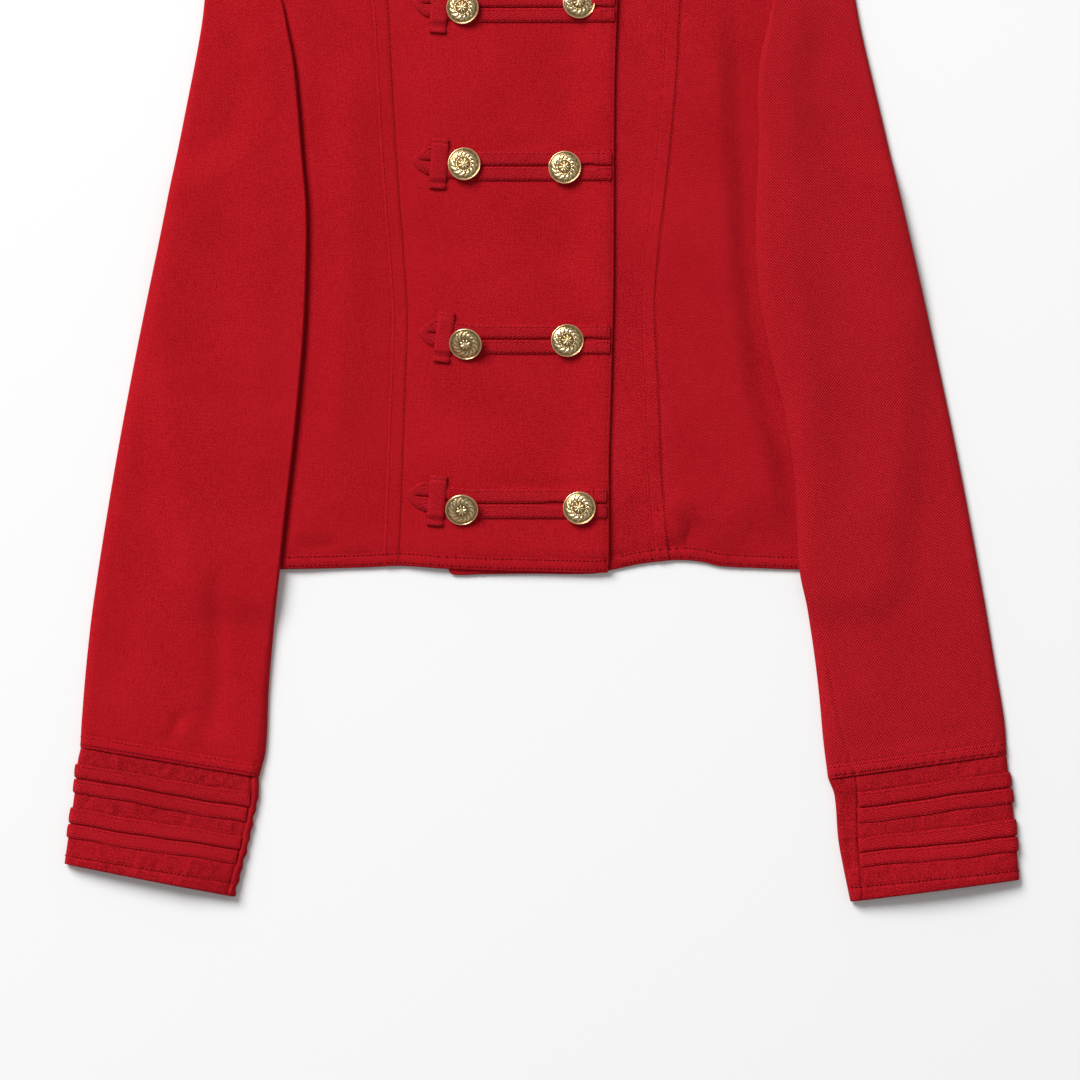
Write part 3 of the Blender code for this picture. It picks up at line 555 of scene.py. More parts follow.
# %% Making a grid
def grid_mesh(name, points, flat, flip):
    """A mesh on a block of points: rows, columns, (x, y, z) in pattern millimetres."""
    rows, columns = points.shape[:2]
    shape = bmesh.new()
    bmesh.ops.create_grid(shape, x_segments=columns - 1, y_segments=rows - 1, size=1.0)
    mesh = bpy.data.meshes.new(name)
    shape.to_mesh(mesh)
    shape.free()
    seat = np.empty(len(mesh.vertices) * 3)
    mesh.vertices.foreach_get("co", seat)
    seat = (seat.reshape(-1, 3)[:, :2] + 1.0) / 2.0 * (columns - 1, rows - 1)
    column, row = np.rint(seat).astype(int).T
    mesh.vertices.foreach_set("co", ((points[row, column] + SHIFT) * MM).ravel())
    corner = np.empty(len(mesh.loops), dtype=np.int32)
    mesh.loops.foreach_get("vertex_index", corner)
    weave = mesh.uv_layers.new(name="weave")
    weave.data.foreach_set("uv", (flat[row, column][corner] * MM).ravel())
    ends = np.empty(len(mesh.edges) * 2, dtype=np.int32)
    mesh.edges.foreach_get("vertices", ends)
    place = column[ends.reshape(-1, 2)].sum(axis=1)
    # the first and the last column stay sharp, so that two pieces meet at a clear line
    sharp = mesh.attributes.new("sharp_edge", "BOOLEAN", "EDGE")
    sharp.data.foreach_set("value", (place == 0) | (place == 2 * (columns - 1)))
    if flip:
        mesh.flip_normals()
    mesh.update()
    mesh.shade_smooth()
    return mesh


def cut_area(flat):
    """Area of the uncut piece, in square metres, from its place on the flat cloth."""
    a, b = flat[1:, 1:] - flat[:-1, :-1], flat[1:, :-1] - flat[:-1, 1:]
    return float(np.abs(a[..., 0] * b[..., 1] - a[..., 1] * b[..., 0]).sum()) / 2.0 * MM * MM


square = np.mgrid[0:11, 0:11].transpose(1, 2, 0) * 10.0
print("a square of 100 x 100 mm has %.4f m2 of cloth" % cut_area(square))

# %% [markdown]
# A sheet's outer face has to point outwards, or its thickness would grow the wrong way. The sum of
# the cross products of its cells tells which way it faces. The sheet is then tied to the part: it
# rides on the one body, stands for one plain solid, and the area of its cut is kept in a list.

# %% Making a sheet of cloth
# The frame takes no sheet under 10 mm wide, so a narrower tape's true size is in its area.
CUT = []


def new_object(name, data):
    """An object at the origin of the scene."""
    made = bpy.data.objects.new(name, data)
    bpy.context.scene.collection.objects.link(made)
    return made


def cloth(
    name, stands_for, points, flat, look, wall=CLOTH, face_up=True,
    offset=-1.0,
):
    """Makes and places a sheet of cloth; offset -1 grows it inwards, 0 to both sides."""
    a, b = points[1:, :-1] - points[:-1, :-1], points[:-1, 1:] - points[:-1, :-1]
    facing = (b[..., 0] * a[..., 1] - b[..., 1] * a[..., 0]).sum()
    piece = new_object(name, grid_mesh(name, points, flat, (facing > 0.0) != face_up))
    piece.data.materials.append(look)
    solidify = piece.modifiers.new("wall", "SOLIDIFY")
    solidify.thickness = wall * MM
    solidify.offset = offset
    solidify.use_even_offset = True
    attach(piece, "root")
    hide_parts(stands_for)
    area = cut_area(flat)
    CUT.append(area)


print("cloth is %.1f mm thick, trim %.1f mm" % (CLOTH, TRIM))

# %% [markdown]
# The finish of each cloth, and later the stitches, are node trees. They could be drawn by hand in
# an editor, but built here, their numbers can be read and changed like all the others. A few
# helpers add a node and join its sockets in one line.

# %% Helpers for node trees
def new_group(name, kind, inputs, outputs):
    """A node tree with named sockets; inputs are (label, type, value), outputs (label, type)."""
    tree = bpy.data.node_groups.new(name, kind)
    for label, socket_type, value in inputs:
        socket = tree.interface.new_socket(name=label, in_out="INPUT", socket_type=socket_type)
        if value is not None:
            socket.default_value = value
    for label, socket_type in outputs:
        tree.interface.new_socket(name=label, in_out="OUTPUT", socket_type=socket_type)
    return tree


def node(tree, kind, links=(), **settings):
    """Adds a node, sets its properties, and fills its inputs: (name or number, value or socket)."""
    made = tree.nodes.new(kind)
    for label, value in settings.items():
        setattr(made, label, value)
    for socket, value in links:
        if isinstance(value, bpy.types.NodeSocket):
            tree.links.new(value, made.inputs[socket])
        else:
            made.inputs[socket].default_value = value
    return made


def math_node(tree, operation, first, second=0.0):
    """A sum, a product or the like of two values or sockets."""
    return node(tree, "ShaderNodeMath", [(0, first), (1, second)], operation=operation).outputs[0]


def plus(tree, first, second):
    return math_node(tree, "ADD", first, second)


def times(tree, first, second):
    return math_node(tree, "MULTIPLY", first, second)


def noise(tree, place, scale, detail):
    """Soft noise on a place; a scale of three numbers stretches it."""
    if isinstance(scale, tuple):
        stretch = [(0, place), (1, scale)]
        place = node(tree, "ShaderNodeVectorMath", stretch, operation="MULTIPLY").outputs[0]
        scale = 1.0
    fill = [("Vector", place), ("Scale", scale), ("Detail", detail)]
    return node(tree, "ShaderNodeTexNoise", fill).outputs[0]


print("node groups so far:", len(bpy.data.node_groups))

# %% [markdown]
# Twill is a weave whose threads step sideways from row to row, so fine ribs run across it
# slantwise. Here a slanted sine wave makes the ribs, and a finer one breaks them into threads;
# their height makes the bumps and also sets the colour, so each rib gets a painted highlight on its
# top and painted shade in its valley. Long stretched noise gives the uneven yarns, and broad noise
# the washed look of the dye. The pattern is a node group with named inputs, so each cloth can use
# it at its own pitch and angle.

# %% The weave as a shader group
RIB_WOBBLE = 7.0
THREAD_DEPTH = 1.1
# scale, detail, weight: the yarns, the weft, the dye and the nap
UNEVEN = (
    ((900.0, 110.0, 1.0), 3.0, 0.45), ((140.0, 800.0, 1.0), 2.0, 0.35), (21.0, 4.0, 0.35),
    (1050.0, 2.0, 1.7),
)


def waves(tree, place, pitch, shift):
    """A sine wave along a place, with a pitch in metres."""
    turns = times(tree, math_node(tree, "DIVIDE", place, pitch), 2.0 * math.pi)
    return math_node(tree, "SINE", plus(tree, turns, shift))


def twill_group():
    """The weave: a height for the bumps, and a shade for the colour, which paints highlight and
    shade on the ribs and adds the uneven yarns and dye.
    """
    # Contrast is how strongly the ribs' painted highlight and shade show in the colour
    sizes = (
        ("Rib pitch", 0.00115), ("Rib angle", 0.9), ("Thread pitch", 0.00075), ("Contrast", 0.3),
        ("Unevenness", 0.5),
    )
    inputs = [("Place", "NodeSocketVector", None)]
    inputs += [(label, "NodeSocketFloat", value) for label, value in sizes]
    outputs = [("Height", "NodeSocketFloat"), ("Shade", "NodeSocketFloat")]
    tree = new_group("twill_weave", "ShaderNodeTree", inputs, outputs)
    into = tree.nodes.new("NodeGroupInput").outputs
    fill = [("Vector", into["Place"]), ("Angle", into["Rib angle"])]
    turned = node(tree, "ShaderNodeVectorRotate", fill, rotation_type="Z_AXIS")
    split = node(tree, "ShaderNodeSeparateXYZ", [("Vector", turned.outputs[0])])
    wobble = math_node(tree, "SUBTRACT", noise(tree, into["Place"], 260.0, 2.0), 0.5)
    rib = waves(tree, split.outputs[0], into["Rib pitch"], times(tree, wobble, RIB_WOBBLE))
    thread = waves(tree, split.outputs[1], into["Thread pitch"], rib)
    height = plus(tree, rib, times(tree, thread, THREAD_DEPTH))
    uneven = 0.0
    for scale, detail, weight in UNEVEN:
        lump = math_node(tree, "SUBTRACT", noise(tree, into["Place"], scale, detail), 0.5)
        uneven = plus(tree, times(tree, lump, weight), uneven)
    # the colour follows the ribs' height: painted highlight on their tops, painted shade between
    # them
    shade = plus(tree, times(tree, height, into["Contrast"]), 0.5)
    shade = plus(tree, shade, times(tree, uneven, into["Unevenness"]))
    low_height = plus(tree, times(tree, height, 0.35), 0.5)
    node(tree, "NodeGroupOutput", [("Height", low_height), ("Shade", shade)])
    return tree


TWILL = twill_group()
print("the weave has", len(TWILL.nodes), "nodes")

# %% [markdown]
# Dyed cloth is dull, with a faint velvety light where its fuzz catches the lamp: high roughness
# and a little sheen on the Principled shader. The weave's shade runs between a dark and a pale
# red that were judged, so the ribs get a painted highlight on their tops and painted shade between
# them, on top of the uneven yarns and dye. The ribs show more on the left front, the left sleeve
# and the cuffs than elsewhere, so there are five cloths: one pattern, each time with other values
# and a stronger or weaker painted rib shade.

# %% The cloth materials
def new_look(name, **settings):
    """A material and its Principled shader, with the shader's plain values."""
    look = bpy.data.materials.new(name)
    look.use_nodes = True
    shader = look.node_tree.nodes["Principled BSDF"]
    for label, value in settings.items():
        shader.inputs[label.replace("_", " ")].default_value = value
    return look, look.node_tree, shader


def two_colours(tree, share, first, second):
    """A mix of two colours by a share that changes over the surface."""
    fill = [(0, share), (6, (*first, 1.0)), (7, (*second, 1.0))]
    return node(tree, "ShaderNodeMix", fill, data_type="RGBA").outputs[2]


def cloth_look(name, dark, light, relief, **weave_sizes):
    """Dull dyed cloth: the weave's shade sets its colour, with painted highlight and shade on the
    ribs among the uneven yarns and dye, and its height the bumps.
    """
    look, tree, shader = new_look(
        name, Roughness=0.9, Specular_IOR_Level=0.05, Sheen_Weight=0.02, Sheen_Roughness=0.5,
        Sheen_Tint=(1.0, 0.45, 0.45, 1.0),
    )
    fill = [("Place", node(tree, "ShaderNodeUVMap", uv_map="weave").outputs[0])]
    fill += [(label.replace("_", " "), value) for label, value in weave_sizes.items()]
    weave = node(tree, "ShaderNodeGroup", fill, node_tree=TWILL)
    # the colour carries painted highlight and shade on the ribs, with the uneven yarns and dye
    colour = two_colours(tree, weave.outputs["Shade"], dark, light)
    tree.links.new(colour, shader.inputs["Base Color"])
    fill = [("Strength", 0.6), ("Distance", relief), ("Height", weave.outputs["Height"])]
    tree.links.new(node(tree, "ShaderNodeBump", fill).outputs[0], shader.inputs["Normal"])
    return look


RIBS = dict(Rib_pitch=0.00122, Rib_angle=-0.82, Thread_pitch=0.00115)
BOLD_RIBS = dict(Rib_pitch=0.00131, Rib_angle=-0.82, Thread_pitch=0.00122)
TAPE_RIBS = dict(Rib_pitch=0.00135, Rib_angle=-1.15, Thread_pitch=0.0010)
# each cloth's pale red is painted highlight on the ribs, its dark red painted shade between them
red_twill = cloth_look(
    "red_twill", (0.285, 0.0006, 0.0034), (0.530, 0.0125, 0.0215), 0.0002,
    Contrast=0.17, Unevenness=1.1, **RIBS,
)
front_twill = cloth_look(
    "red_twill_front", (0.250, 0.0004, 0.0030), (0.560, 0.0140, 0.0240), 0.00025,
    Contrast=0.34, Unevenness=1.4, **BOLD_RIBS,
)
clear_twill = cloth_look(
    "red_twill_clear", (0.19, 0.0002, 0.0022), (0.610, 0.0165, 0.0280), 0.00025,
    Contrast=0.76, Unevenness=1.2, **BOLD_RIBS,
)
cuff_twill = cloth_look(
    "red_twill_cuff", (0.20, 0.0006, 0.0030), (0.52, 0.0125, 0.0215), 0.00025,
    Contrast=0.30, Unevenness=1.8, **RIBS,
)
red_tape = cloth_look(
    "red_tape", (0.23, 0.0006, 0.0032), (0.55, 0.0145, 0.0245), 0.00028,
    Contrast=0.50, Unevenness=1.3, **TAPE_RIBS,
)
cloths = (red_twill, front_twill, clear_twill, cuff_twill, red_tape)
print("cloth materials:", [look.name for look in cloths])

# %% [markdown]
# The four front panels are laid first. A panel's grid runs from its side edge to its inner edge
# and from the hem to the shoulder or the neckline, with finer steps beside the seams and edges,
# where the relief is fine too. Each panel is a hair short of its neighbour, as two panels are at
# a seam.

# %% The front panels
FINE = 0.9
COARSE = 2.3


def grain(x, y, degrees, start):
    """Place on the uncut cloth: the piece turned to its grain and cut from its own spot."""
    a = math.radians(degrees)
    return together(x * math.cos(a) + y * math.sin(a) + start, y * math.cos(a) - x * math.sin(a))


def front_panel(label, part, outer, inner, tops, side, start):
    """outer and inner give the side edges at a height, tops where each column ends across."""
    share = (tops - tops[0]) / (tops[-1] - tops[0])
    share, row = np.meshgrid(share, PANEL_ROWS)
    top_x = np.broadcast_to(tops, share.shape)
    top_y = front_top_line(top_x, side)

    def between(y):
        return outer(y) + (inner(y) - outer(y)) * share

    low = along(RIGHT_HEM if side < 0 else LEFT_HEM, between(np.zeros(share.shape)))
    y = low + (top_y - low) * row
    x = between(y) + (top_x - between(top_y)) * row
    look = front_twill if side > 0 else red_twill
    name = f"{label}_front_{part}"
    cut = grain(x, y, 2.0 * side, start * side)
    cloth(name + "_panel", name, on_front(x, y, side), cut, look)


def half_seam(table, shift):
    """A seam's line, moved a hair to one side."""
    return lambda y: along(table, y) + shift


PANEL_ROWS = spaced((12.0, FINE), (30.0, 1.6), (436.0, COARSE), (450.0, 1.4))
for side, label, princess, edge, flank in (
    (1, "left", LEFT_PRINCESS, LEFT_FRONT_EDGE, LEFT_SIDE),
    (-1, "right", RIGHT_PRINCESS, RIGHT_FRONT_EDGE, RIGHT_SIDE),
):
    outer, inner = half_seam(flank, 0.0), half_seam(princess, side * SEAM_SHUT)
    first, last = float(outer(SHOULDER_TOP)), float(inner(NECK_TOP))
    tops = first + (last - first) * spaced((92.0, COARSE), (104.0, FINE))
    front_panel(label, "side", outer, inner, tops, side, 31.0)
    outer, inner = half_seam(princess, -side * SEAM_SHUT), half_seam(edge, 0.0)
    first, last = float(outer(NECK_TOP)), float(inner(NECK_TOP))
    near = side * (abs(first) + (NECK_HALF - abs(first)) * spaced((17.0, FINE), (57.0, COARSE)))
    stops = np.interp(np.arange(41) / 4.0, np.arange(11), NECK_STOPS)[::-1]
    past = last * spaced((44.0, COARSE), (55.0, FINE))
    tops = np.concatenate([near[:-1], side * NECK_HALF * stops, past[1:]])
    front_panel(label, "centre", outer, inner, tops, side, 53.0)

# %% [markdown]
# The back carries everything and touches the table, so its underside stays flat. A real one would
# be cut in four, with a seam down its middle and two more beside it. Nobody sees them here, so it
# is one sheet, and the three seams are shallow grooves on its underside.

# %% The back
# across at the hem, across at the shoulder
BACK_SEAMS = ((0.0, 0.0), (-72.0, -104.0), (72.0, 104.0))
BACK_GROOVE = 0.5
BACK_WAIST = 7.0


def back_seam(y, foot, head):
    """A back seam curves in at the waist and out to the shoulder."""
    share = np.clip(y / SHOULDER_TOP, 0.0, 1.0)
    waist = math.copysign(BACK_WAIST, foot) * (foot != 0.0)
    return foot + (head - foot) * share**2.2 - waist * np.sin(share * math.pi)


share, row = np.meshgrid(spaced((440.0, 2.4)), spaced((14.0, 1.6), (440.0, 5.6)))
top_x = SHOULDER_HALF * (2.0 * share - 1.0)
neck = neck_height(top_x, BACK_NECK_DEPTH)
top_y = np.where(np.abs(top_x) > NECK_HALF, shoulder_height(top_x), neck)
y = BACK_HEM + (top_y - BACK_HEM) * row
edge_y = BACK_HEM + (SHOULDER_TOP - BACK_HEM) * row
right_edge, left_edge = along(RIGHT_SIDE, edge_y), along(LEFT_SIDE, edge_y)
x = right_edge + (left_edge - right_edge) * share
z = np.zeros(x.shape)
for foot, head in BACK_SEAMS:
    z = z + BACK_GROOVE * bump(x - back_seam(y, foot, head), 2.0)
z = z + 0.25 * bump(y - BACK_HEM - 7.4, 1.4)
cut = grain(-x, y, 0.0, 400.0)
cloth("back_panel", "back", together(x, y, z), cut, red_twill, face_up=False)

# %% [markdown]
# A sleeve that lies flat is a tube with a soft edge on each side: the cloth rolls over rather than
# folds. The section is worked out from how far a point is from the outer edge; both edges turn
# down on a quarter of an ellipse, and the top is slightly crowned. The wearer's left sleeve rolls
# over gently beside the body, while the right one stands on it with a steep edge that throws a
# dark shadow. A modelled tube could be flattened by hand, but a rule in two directions, round the
# tube and along it, lets its folds be placed where the photo has them.

# %% The shape of a flat tube
# the lower edge's radius, and how far the upper piece turns in under it
FOOT_ROUND = 1.4
FOOT_TURN = 1.6


def constant(value):
    """A size that is the same all along the tube."""
    return lambda row, share=0.0: value + 0.0 * row


def tube_width(tube, row):
    """The flat tube's width at a share of its length."""
    return np.hypot(*np.subtract(edge_points(tube["inner"], row), edge_points(tube["outer"], row)))


def tube_plan(tube, row, share):
    """Across and height at a share of the width, from the outer edge to the inner one."""
    start, end = edge_points(tube["outer"], row), edge_points(tube["inner"], row)
    return start[0] + (end[0] - start[0]) * share, start[1] + (end[1] - start[1]) * share


def tube_at(tube, row, distance, z):
    """Points at a distance from the outer edge and a height over the tube's foot."""
    share = distance / tube_width(tube, row)
    x, y = tube_plan(tube, row, share)
    on_body = tube["climb"](row) * fall(*RAMP, outside_body(x, y))
    foot = on_body * (2.0 * LAYER + lie(x, y)) + tube["foot"](row, share)
    return together(x, y, foot + z)


def tube_top(tube, row, distance, lift=0.0):
    """Points on top of a tube, lifted square to its face."""
    width = tube_width(tube, row)
    share = np.clip(distance / width, 0.0, 1.0)
    x, y = tube_plan(tube, row, share)
    peak = tube["height"](row) + tube["crown"](row) * (1.0 - (2.0 * share - 1.0) ** 2)
    peak = peak + tube["relief"](x, y, row, distance, width)
    outer_round, inner_round = tube["outer_round"](row), tube["inner_round"](row)
    outer_turn = np.clip(1.0 - distance / outer_round, 0.0, 1.0)
    inner_turn = np.clip(1.0 - (width - distance) / inner_round, 0.0, 1.0)
    rounded = np.sqrt(1.0 - outer_turn**2) * np.sqrt(1.0 - inner_turn**2)
    rise = np.maximum(peak - FOOT_ROUND, 0.5)
    side = inner_turn / inner_round - outer_turn / outer_round
    up = rounded / rise
    norm = np.hypot(side, up)
    z = FOOT_ROUND + rise * rounded + lift * up / norm
    return tube_at(tube, row, distance + lift * side / norm, z)


cuff_edges = dict(outer=RIGHT_CUFF_OUTER, inner=RIGHT_CUFF_INNER)
print("width of the right cuff at its hem: %.0f mm" % tube_width(cuff_edges, np.array(1.0)))

# %% [markdown]
# A sleeve of this kind is cut in two pieces, and so is its cuff. The upper piece shows from the
# front and turns in a little under the outer edge; the under piece lies on the table, comes up
# round the inner edge and ends in a seam near it. Each is made as one grid that follows the
# tube's section, and its cut is measured along that section.

# %% The two pieces of a tube
def upper_piece(tube, rows, step):
    """From the seam on top, over the top, round the outer edge and a little under it."""
    columns = max(2, round(100.0 / step))
    row = rows[:, None]
    seam = tube_width(tube, row) - tube["seam"](row)
    near = tube["outer_round"](row)
    # a few close steps first, where the pressed seam dips
    shares = np.concatenate([[0.0, 0.0035, 0.0075, 0.0125], np.linspace(0.02, 1.0, columns + 1)])
    flat_part = seam + (near - seam) * shares[None, :]
    turn = np.sin(np.linspace(0.0, math.pi / 2.0, 11))[None, 1:]
    distance = np.concatenate([flat_part, near * (1.0 - turn)], axis=1)
    top = tube_top(tube, np.broadcast_to(row, distance.shape), distance)
    angles = np.radians((22.5, 45.0, 67.5, 90.0))
    low = np.concatenate([FOOT_ROUND * (1.0 - np.cos(angles)), [FOOT_ROUND + FOOT_TURN]])
    high = np.concatenate([FOOT_ROUND * (1.0 - np.sin(angles)), [0.0]])
    low, high = np.broadcast_to(low, (len(rows), 5)), np.broadcast_to(high, (len(rows), 5))
    under = tube_at(tube, np.broadcast_to(row, low.shape), low, high)
    return np.concatenate([top, under], axis=1)


def under_piece(tube, rows, step):
    """From just past the upper piece along the foot, round the inner edge and up to the seam."""
    row = rows[:, None]
    width = tube_width(tube, row)
    start = FOOT_ROUND + FOOT_TURN + GAP
    count = max(2, round(100.0 / step))
    foot = start + (width - FOOT_ROUND - start) * np.linspace(0.0, 1.0, count + 1)[None, :]
    angles = np.radians((22.5, 45.0, 67.5))
    foot_turn = width - FOOT_ROUND + FOOT_ROUND * np.sin(angles)[None, :]
    low = np.concatenate([foot, foot_turn], axis=1)
    turn_height = np.broadcast_to(FOOT_ROUND * (1.0 - np.cos(angles)), foot_turn.shape)
    high = np.concatenate([np.zeros(foot.shape), turn_height], axis=1)
    under = tube_at(tube, np.broadcast_to(row, low.shape), low, high)
    seam = tube["seam"](row) - SEAM_SHUT
    share = 0.5 - 0.5 * np.cos(np.linspace(0.0, math.pi, 22))[None, :]
    distance = width - seam * share
    top = tube_top(tube, np.broadcast_to(row, distance.shape), distance)
    return np.concatenate([under, top], axis=1)


def tube_flat(points, rows, length, sign):
    """Each point's place on the uncut cloth: how far round the section, and how far down."""
    round_it = np.array([distance_run(section) for section in points])
    return together(sign * round_it, -rows[:, None] * length)


print("the upper piece turns in %.1f mm under the outer edge" % (FOOT_ROUND + FOOT_TURN))

# %% [markdown]
# The sleeves get their own folds: long shallow ones down the arm, a few short creases where the
# cloth is held by the lap, and small puckers along its two rows of stitches.

# %% The folds of the sleeves
RIGHT_SLEEVE_FOLDS = (
    (((-190, 12), (-190.5, -38), (-190.5, -72), (-194, -98), (-199, -114)), 4.5, -1.6),
    (((-211, -84), (-216, -97), (-223, -114)), 2.6, -1.7),
    (((-205, -88), (-210, -102), (-216, -116)), 4.0, 0.9),
    (((-176, 330), (-182, 250), (-190, 190), (-196, 120)), 10.0, -0.8),
    (((-158, 230), (-161, 160), (-166, 80), (-170, 20)), 7.0, 0.5),
    (((-214, 230), (-222, 150), (-232, 60), (-240, -10)), 10.0, 0.5),
    (((-226, 120), (-236, 40), (-246, -40), (-250, -84)), 8.0, -0.6),
    (((-200, 60), (-206, 10), (-214, -40)), 9.0, 0.2),
    (((-238, -92), (-222, -99), (-200, -104), (-176, -108)), 4.0, 0.45),
    (((-172, 372), (-182, 356), (-192, 350)), 5.0, -0.6),
    (((-166, 345), (-178, 322), (-194, 312)), 6.0, -0.6),
)
LEFT_SLEEVE_FOLDS = (
    (((157, 300), (159, 239), (160, 196), (163, 165), (169, 120), (176, 60), (180, 20)), 8.5, 1.1),
    (((190, 300), (191, 239), (192, 196), (196, 150), (203, 92), (208, 30)), 12.0, -0.9),
    (((214, 250), (222, 200), (231, 130), (240, 50)), 11.0, 0.5),
    (((232, 150), (242, 80), (254, 0), (262, -60)), 9.0, -0.3),
    (((166, 180), (170, 120), (176, 60)), 6.0, 0.5),
    (((205, 10), (212, -40), (219, -92)), 9.0, 0.55),
    (((236, -20), (243, -60), (250, -98)), 8.0, -0.6),
    (((196, -112), (222, -107), (250, -102), (284, -97)), 4.0, -0.6),
    (((276, -30), (281, -62), (285, -92)), 5.0, -0.5),
    (((196, -62), (190, -92), (196, -112)), 6.0, 0.5),
    (((172, 372), (182, 356), (192, 350)), 5.0, -0.6),
    (((166, 345), (178, 322), (196, 310)), 6.0, -0.6),
)
print("folds placed on the sleeves:", len(RIGHT_SLEEVE_FOLDS), "and", len(LEFT_SLEEVE_FOLDS))

# %% [markdown]
# The lap is the sleeve's own end, turned in and held by two rows of stitches, so it stands up as a
# band. The relief adds that band, its puckers, the folds and a groove at the seam. It fades out
# near both edges, so that the cloth still rolls over smoothly.

# %% The relief of the sleeves
LAP_ROWS = (2.3, 7.0)
LAP_BAND = 7.6


def sleeve_relief(table, length, shoulder, seam, seed):
    """shoulder is how high the inner edge stands where the sleeve lies on the body."""
    def relief(x, y, row, distance, width):
        above_lap = (1.0 - row) * length
        inward = width - distance
        free = ease(8.0, 26.0, above_lap) * ease(0.0, 0.06, row) * 0.85 + 0.15
        broad = 0.2 * np.sin(x / 13.0 + y / 41.0 + seed) * np.sin(y / 57.0 + seed)
        puckers = 0.5 * ripple(distance, above_lap, 5.7, seed) * fall(9.0, 20.0, above_lap)
        cap = 0.35 * ripple(distance, 0.0, 19.0, seed) * fall(0.03, 0.12, row)
        edges = ease(1.0, 10.0, distance) * ease(1.0, 9.0, inward)
        soft = edges * (free * (folds(x, y, table) + broad) + puckers + cap)
        band = 0.9 * fall(6.6, 8.8, above_lap) - 0.5 * bump(above_lap - LAP_BAND, 0.9)
        band = band - 0.3 * bump(above_lap - 1.5, 0.6) - 0.5 * bump(above_lap, 0.8)
        over_body = shoulder * ease(0.15, 0.3, row) * bump(inward, 9.0)
        groove = 0.45 * bump(inward - seam(row), 0.9) * ease(0.78, 0.88, row)
        return soft + over_body + band - groove * ease(0.0, 5.0, seam(row) - 2.0)
    return relief


def seam_place(table):
    """How far from the inner edge the seam runs."""
    return lambda row: along(table, row)


print("stitch rows of a sleeve's lap: %.1f and %.1f mm above its edge" % LAP_ROWS)

# %% [markdown]
# Both sleeves follow the same rules with their own numbers: their edges, the place of the seam, and
# how round each edge is at the cap, along the arm and at the cuff. Their shapes are kept, because
# the rows of stitches are placed on them later.

# %% The sleeves
CAP_HEIGHT = 3.1
SLEEVE_HEIGHT = 5.2
CROWN = 0.9
# shares of a sleeve's length: where its cap ends, and where it climbs onto the body
CAP_SHARE = 0.22
CLIMB = (0.06, 0.17)


def soft_edge(cap, arm, end):
    """Radius of an edge: small at the cap, then soft, then the cuff's."""
    return lambda row: cap + (arm - cap) * ease(0.1, 0.4, row) + (end - arm) * ease(0.72, 1.0, row)


def sleeve(
    label, sign, outer, inner, table, length, shoulder, seam, seed, outer_round, inner_round, look,
):
    """Makes both pieces of a sleeve, and gives back its shape for the stitches."""
    seam = seam_place(seam)
    tube = dict(
        outer=outer, inner=inner, seam=seam, length=length,
        height=lambda row: CAP_HEIGHT + (SLEEVE_HEIGHT - CAP_HEIGHT) * ease(0.0, CAP_SHARE, row),
        crown=lambda row: CROWN * ease(0.0, CAP_SHARE, row),
        outer_round=soft_edge(*outer_round), inner_round=soft_edge(*inner_round),
        climb=lambda row: ease(*CLIMB, row), foot=constant(0.0),
        relief=sleeve_relief(table, length, shoulder, seam, seed),
    )
    rows = spaced((20.0, 1.8), (510.0, 2.4), (530.0, 1.5), (545.0, 0.8))
    for part, make, step in (("upper", upper_piece, 2.3), ("under", under_piece, 4.2)):
        points = make(tube, rows, step)
        name = f"{label}_sleeve_{part}"
        cloth(
            name + "_piece", name, points, tube_flat(points, rows, length, sign), look,
            face_up=part == "upper",
        )
    return tube


RIGHT_SLEEVE = sleeve(
    "right", -1.0, RIGHT_SLEEVE_OUTER, RIGHT_SLEEVE_INNER, RIGHT_SLEEVE_FOLDS, length=540.0,
    shoulder=0.9, seam=((0.0, 0.7), (0.80, 0.7), (1.0, 4.5)), seed=0.4,
    outer_round=(3.0, 9.0, 5.0), inner_round=(1.2, 0.9, 7.0), look=red_twill,
)
LEFT_SLEEVE = sleeve(
    "left", 1.0, LEFT_SLEEVE_OUTER, LEFT_SLEEVE_INNER, LEFT_SLEEVE_FOLDS, length=545.0,
    shoulder=0.0,
    seam=((0.0, 0.7), (0.70, 0.7), (0.80, 4.0), (0.88, 7.4), (0.94, 10.8), (1.0, 16.6)), seed=2.2,
    outer_round=(3.0, 5.0, 9.0), inner_round=(1.4, 10.0, 4.5), look=clear_twill,
)

# %% [markdown]
# Each cuff carries four tapes in two pairs. The needle goes through tape and cuff together and
# draws the cloth between the pairs into small uneven puckers, so the cuff's own relief is a fine,
# slanted ripple that grows between the tapes and is pressed flat under them.

# %% Where the tapes press a cuff
# name, start and end at the outer edge, start and end at the seam, as shares of the cuff's depth
CUFF_TAPES = (
    ("tape_1", 0.140, 0.250, 0.130, 0.245),
    ("tape_2", 0.270, 0.380, 0.265, 0.372),
    ("tape_3", 0.520, 0.645, 0.502, 0.602),
    ("tape_4", 0.664, 0.770, 0.620, 0.722),
)
CUFF_HEM = (0.925, 0.885)
CUFF_LENGTH = 73.5
PAIRS = ((0, 1), (2, 3))


def under_tapes(row, slant):
    """1 under a pair of tapes, 0 on the bare cuff."""
    cover = 0.0
    for first, last in PAIRS:
        start = CUFF_TAPES[first][1] + (CUFF_TAPES[first][3] - CUFF_TAPES[first][1]) * slant
        end = CUFF_TAPES[last][2] + (CUFF_TAPES[last][4] - CUFF_TAPES[last][2]) * slant
        cover = cover + ease(start - 0.02, start + 0.005, row) * fall(end - 0.005, end + 0.02, row)
    return cover


print("tapes on each cuff:", len(CUFF_TAPES), "in", len(PAIRS), "pairs")

# %% [markdown]
# The creases between the tapes are too small and too many to place by hand. A generator with a
# fixed seed gives each its place, direction and size, so they are the same on every run.

# %% The relief of the cuffs
CREASES = 230


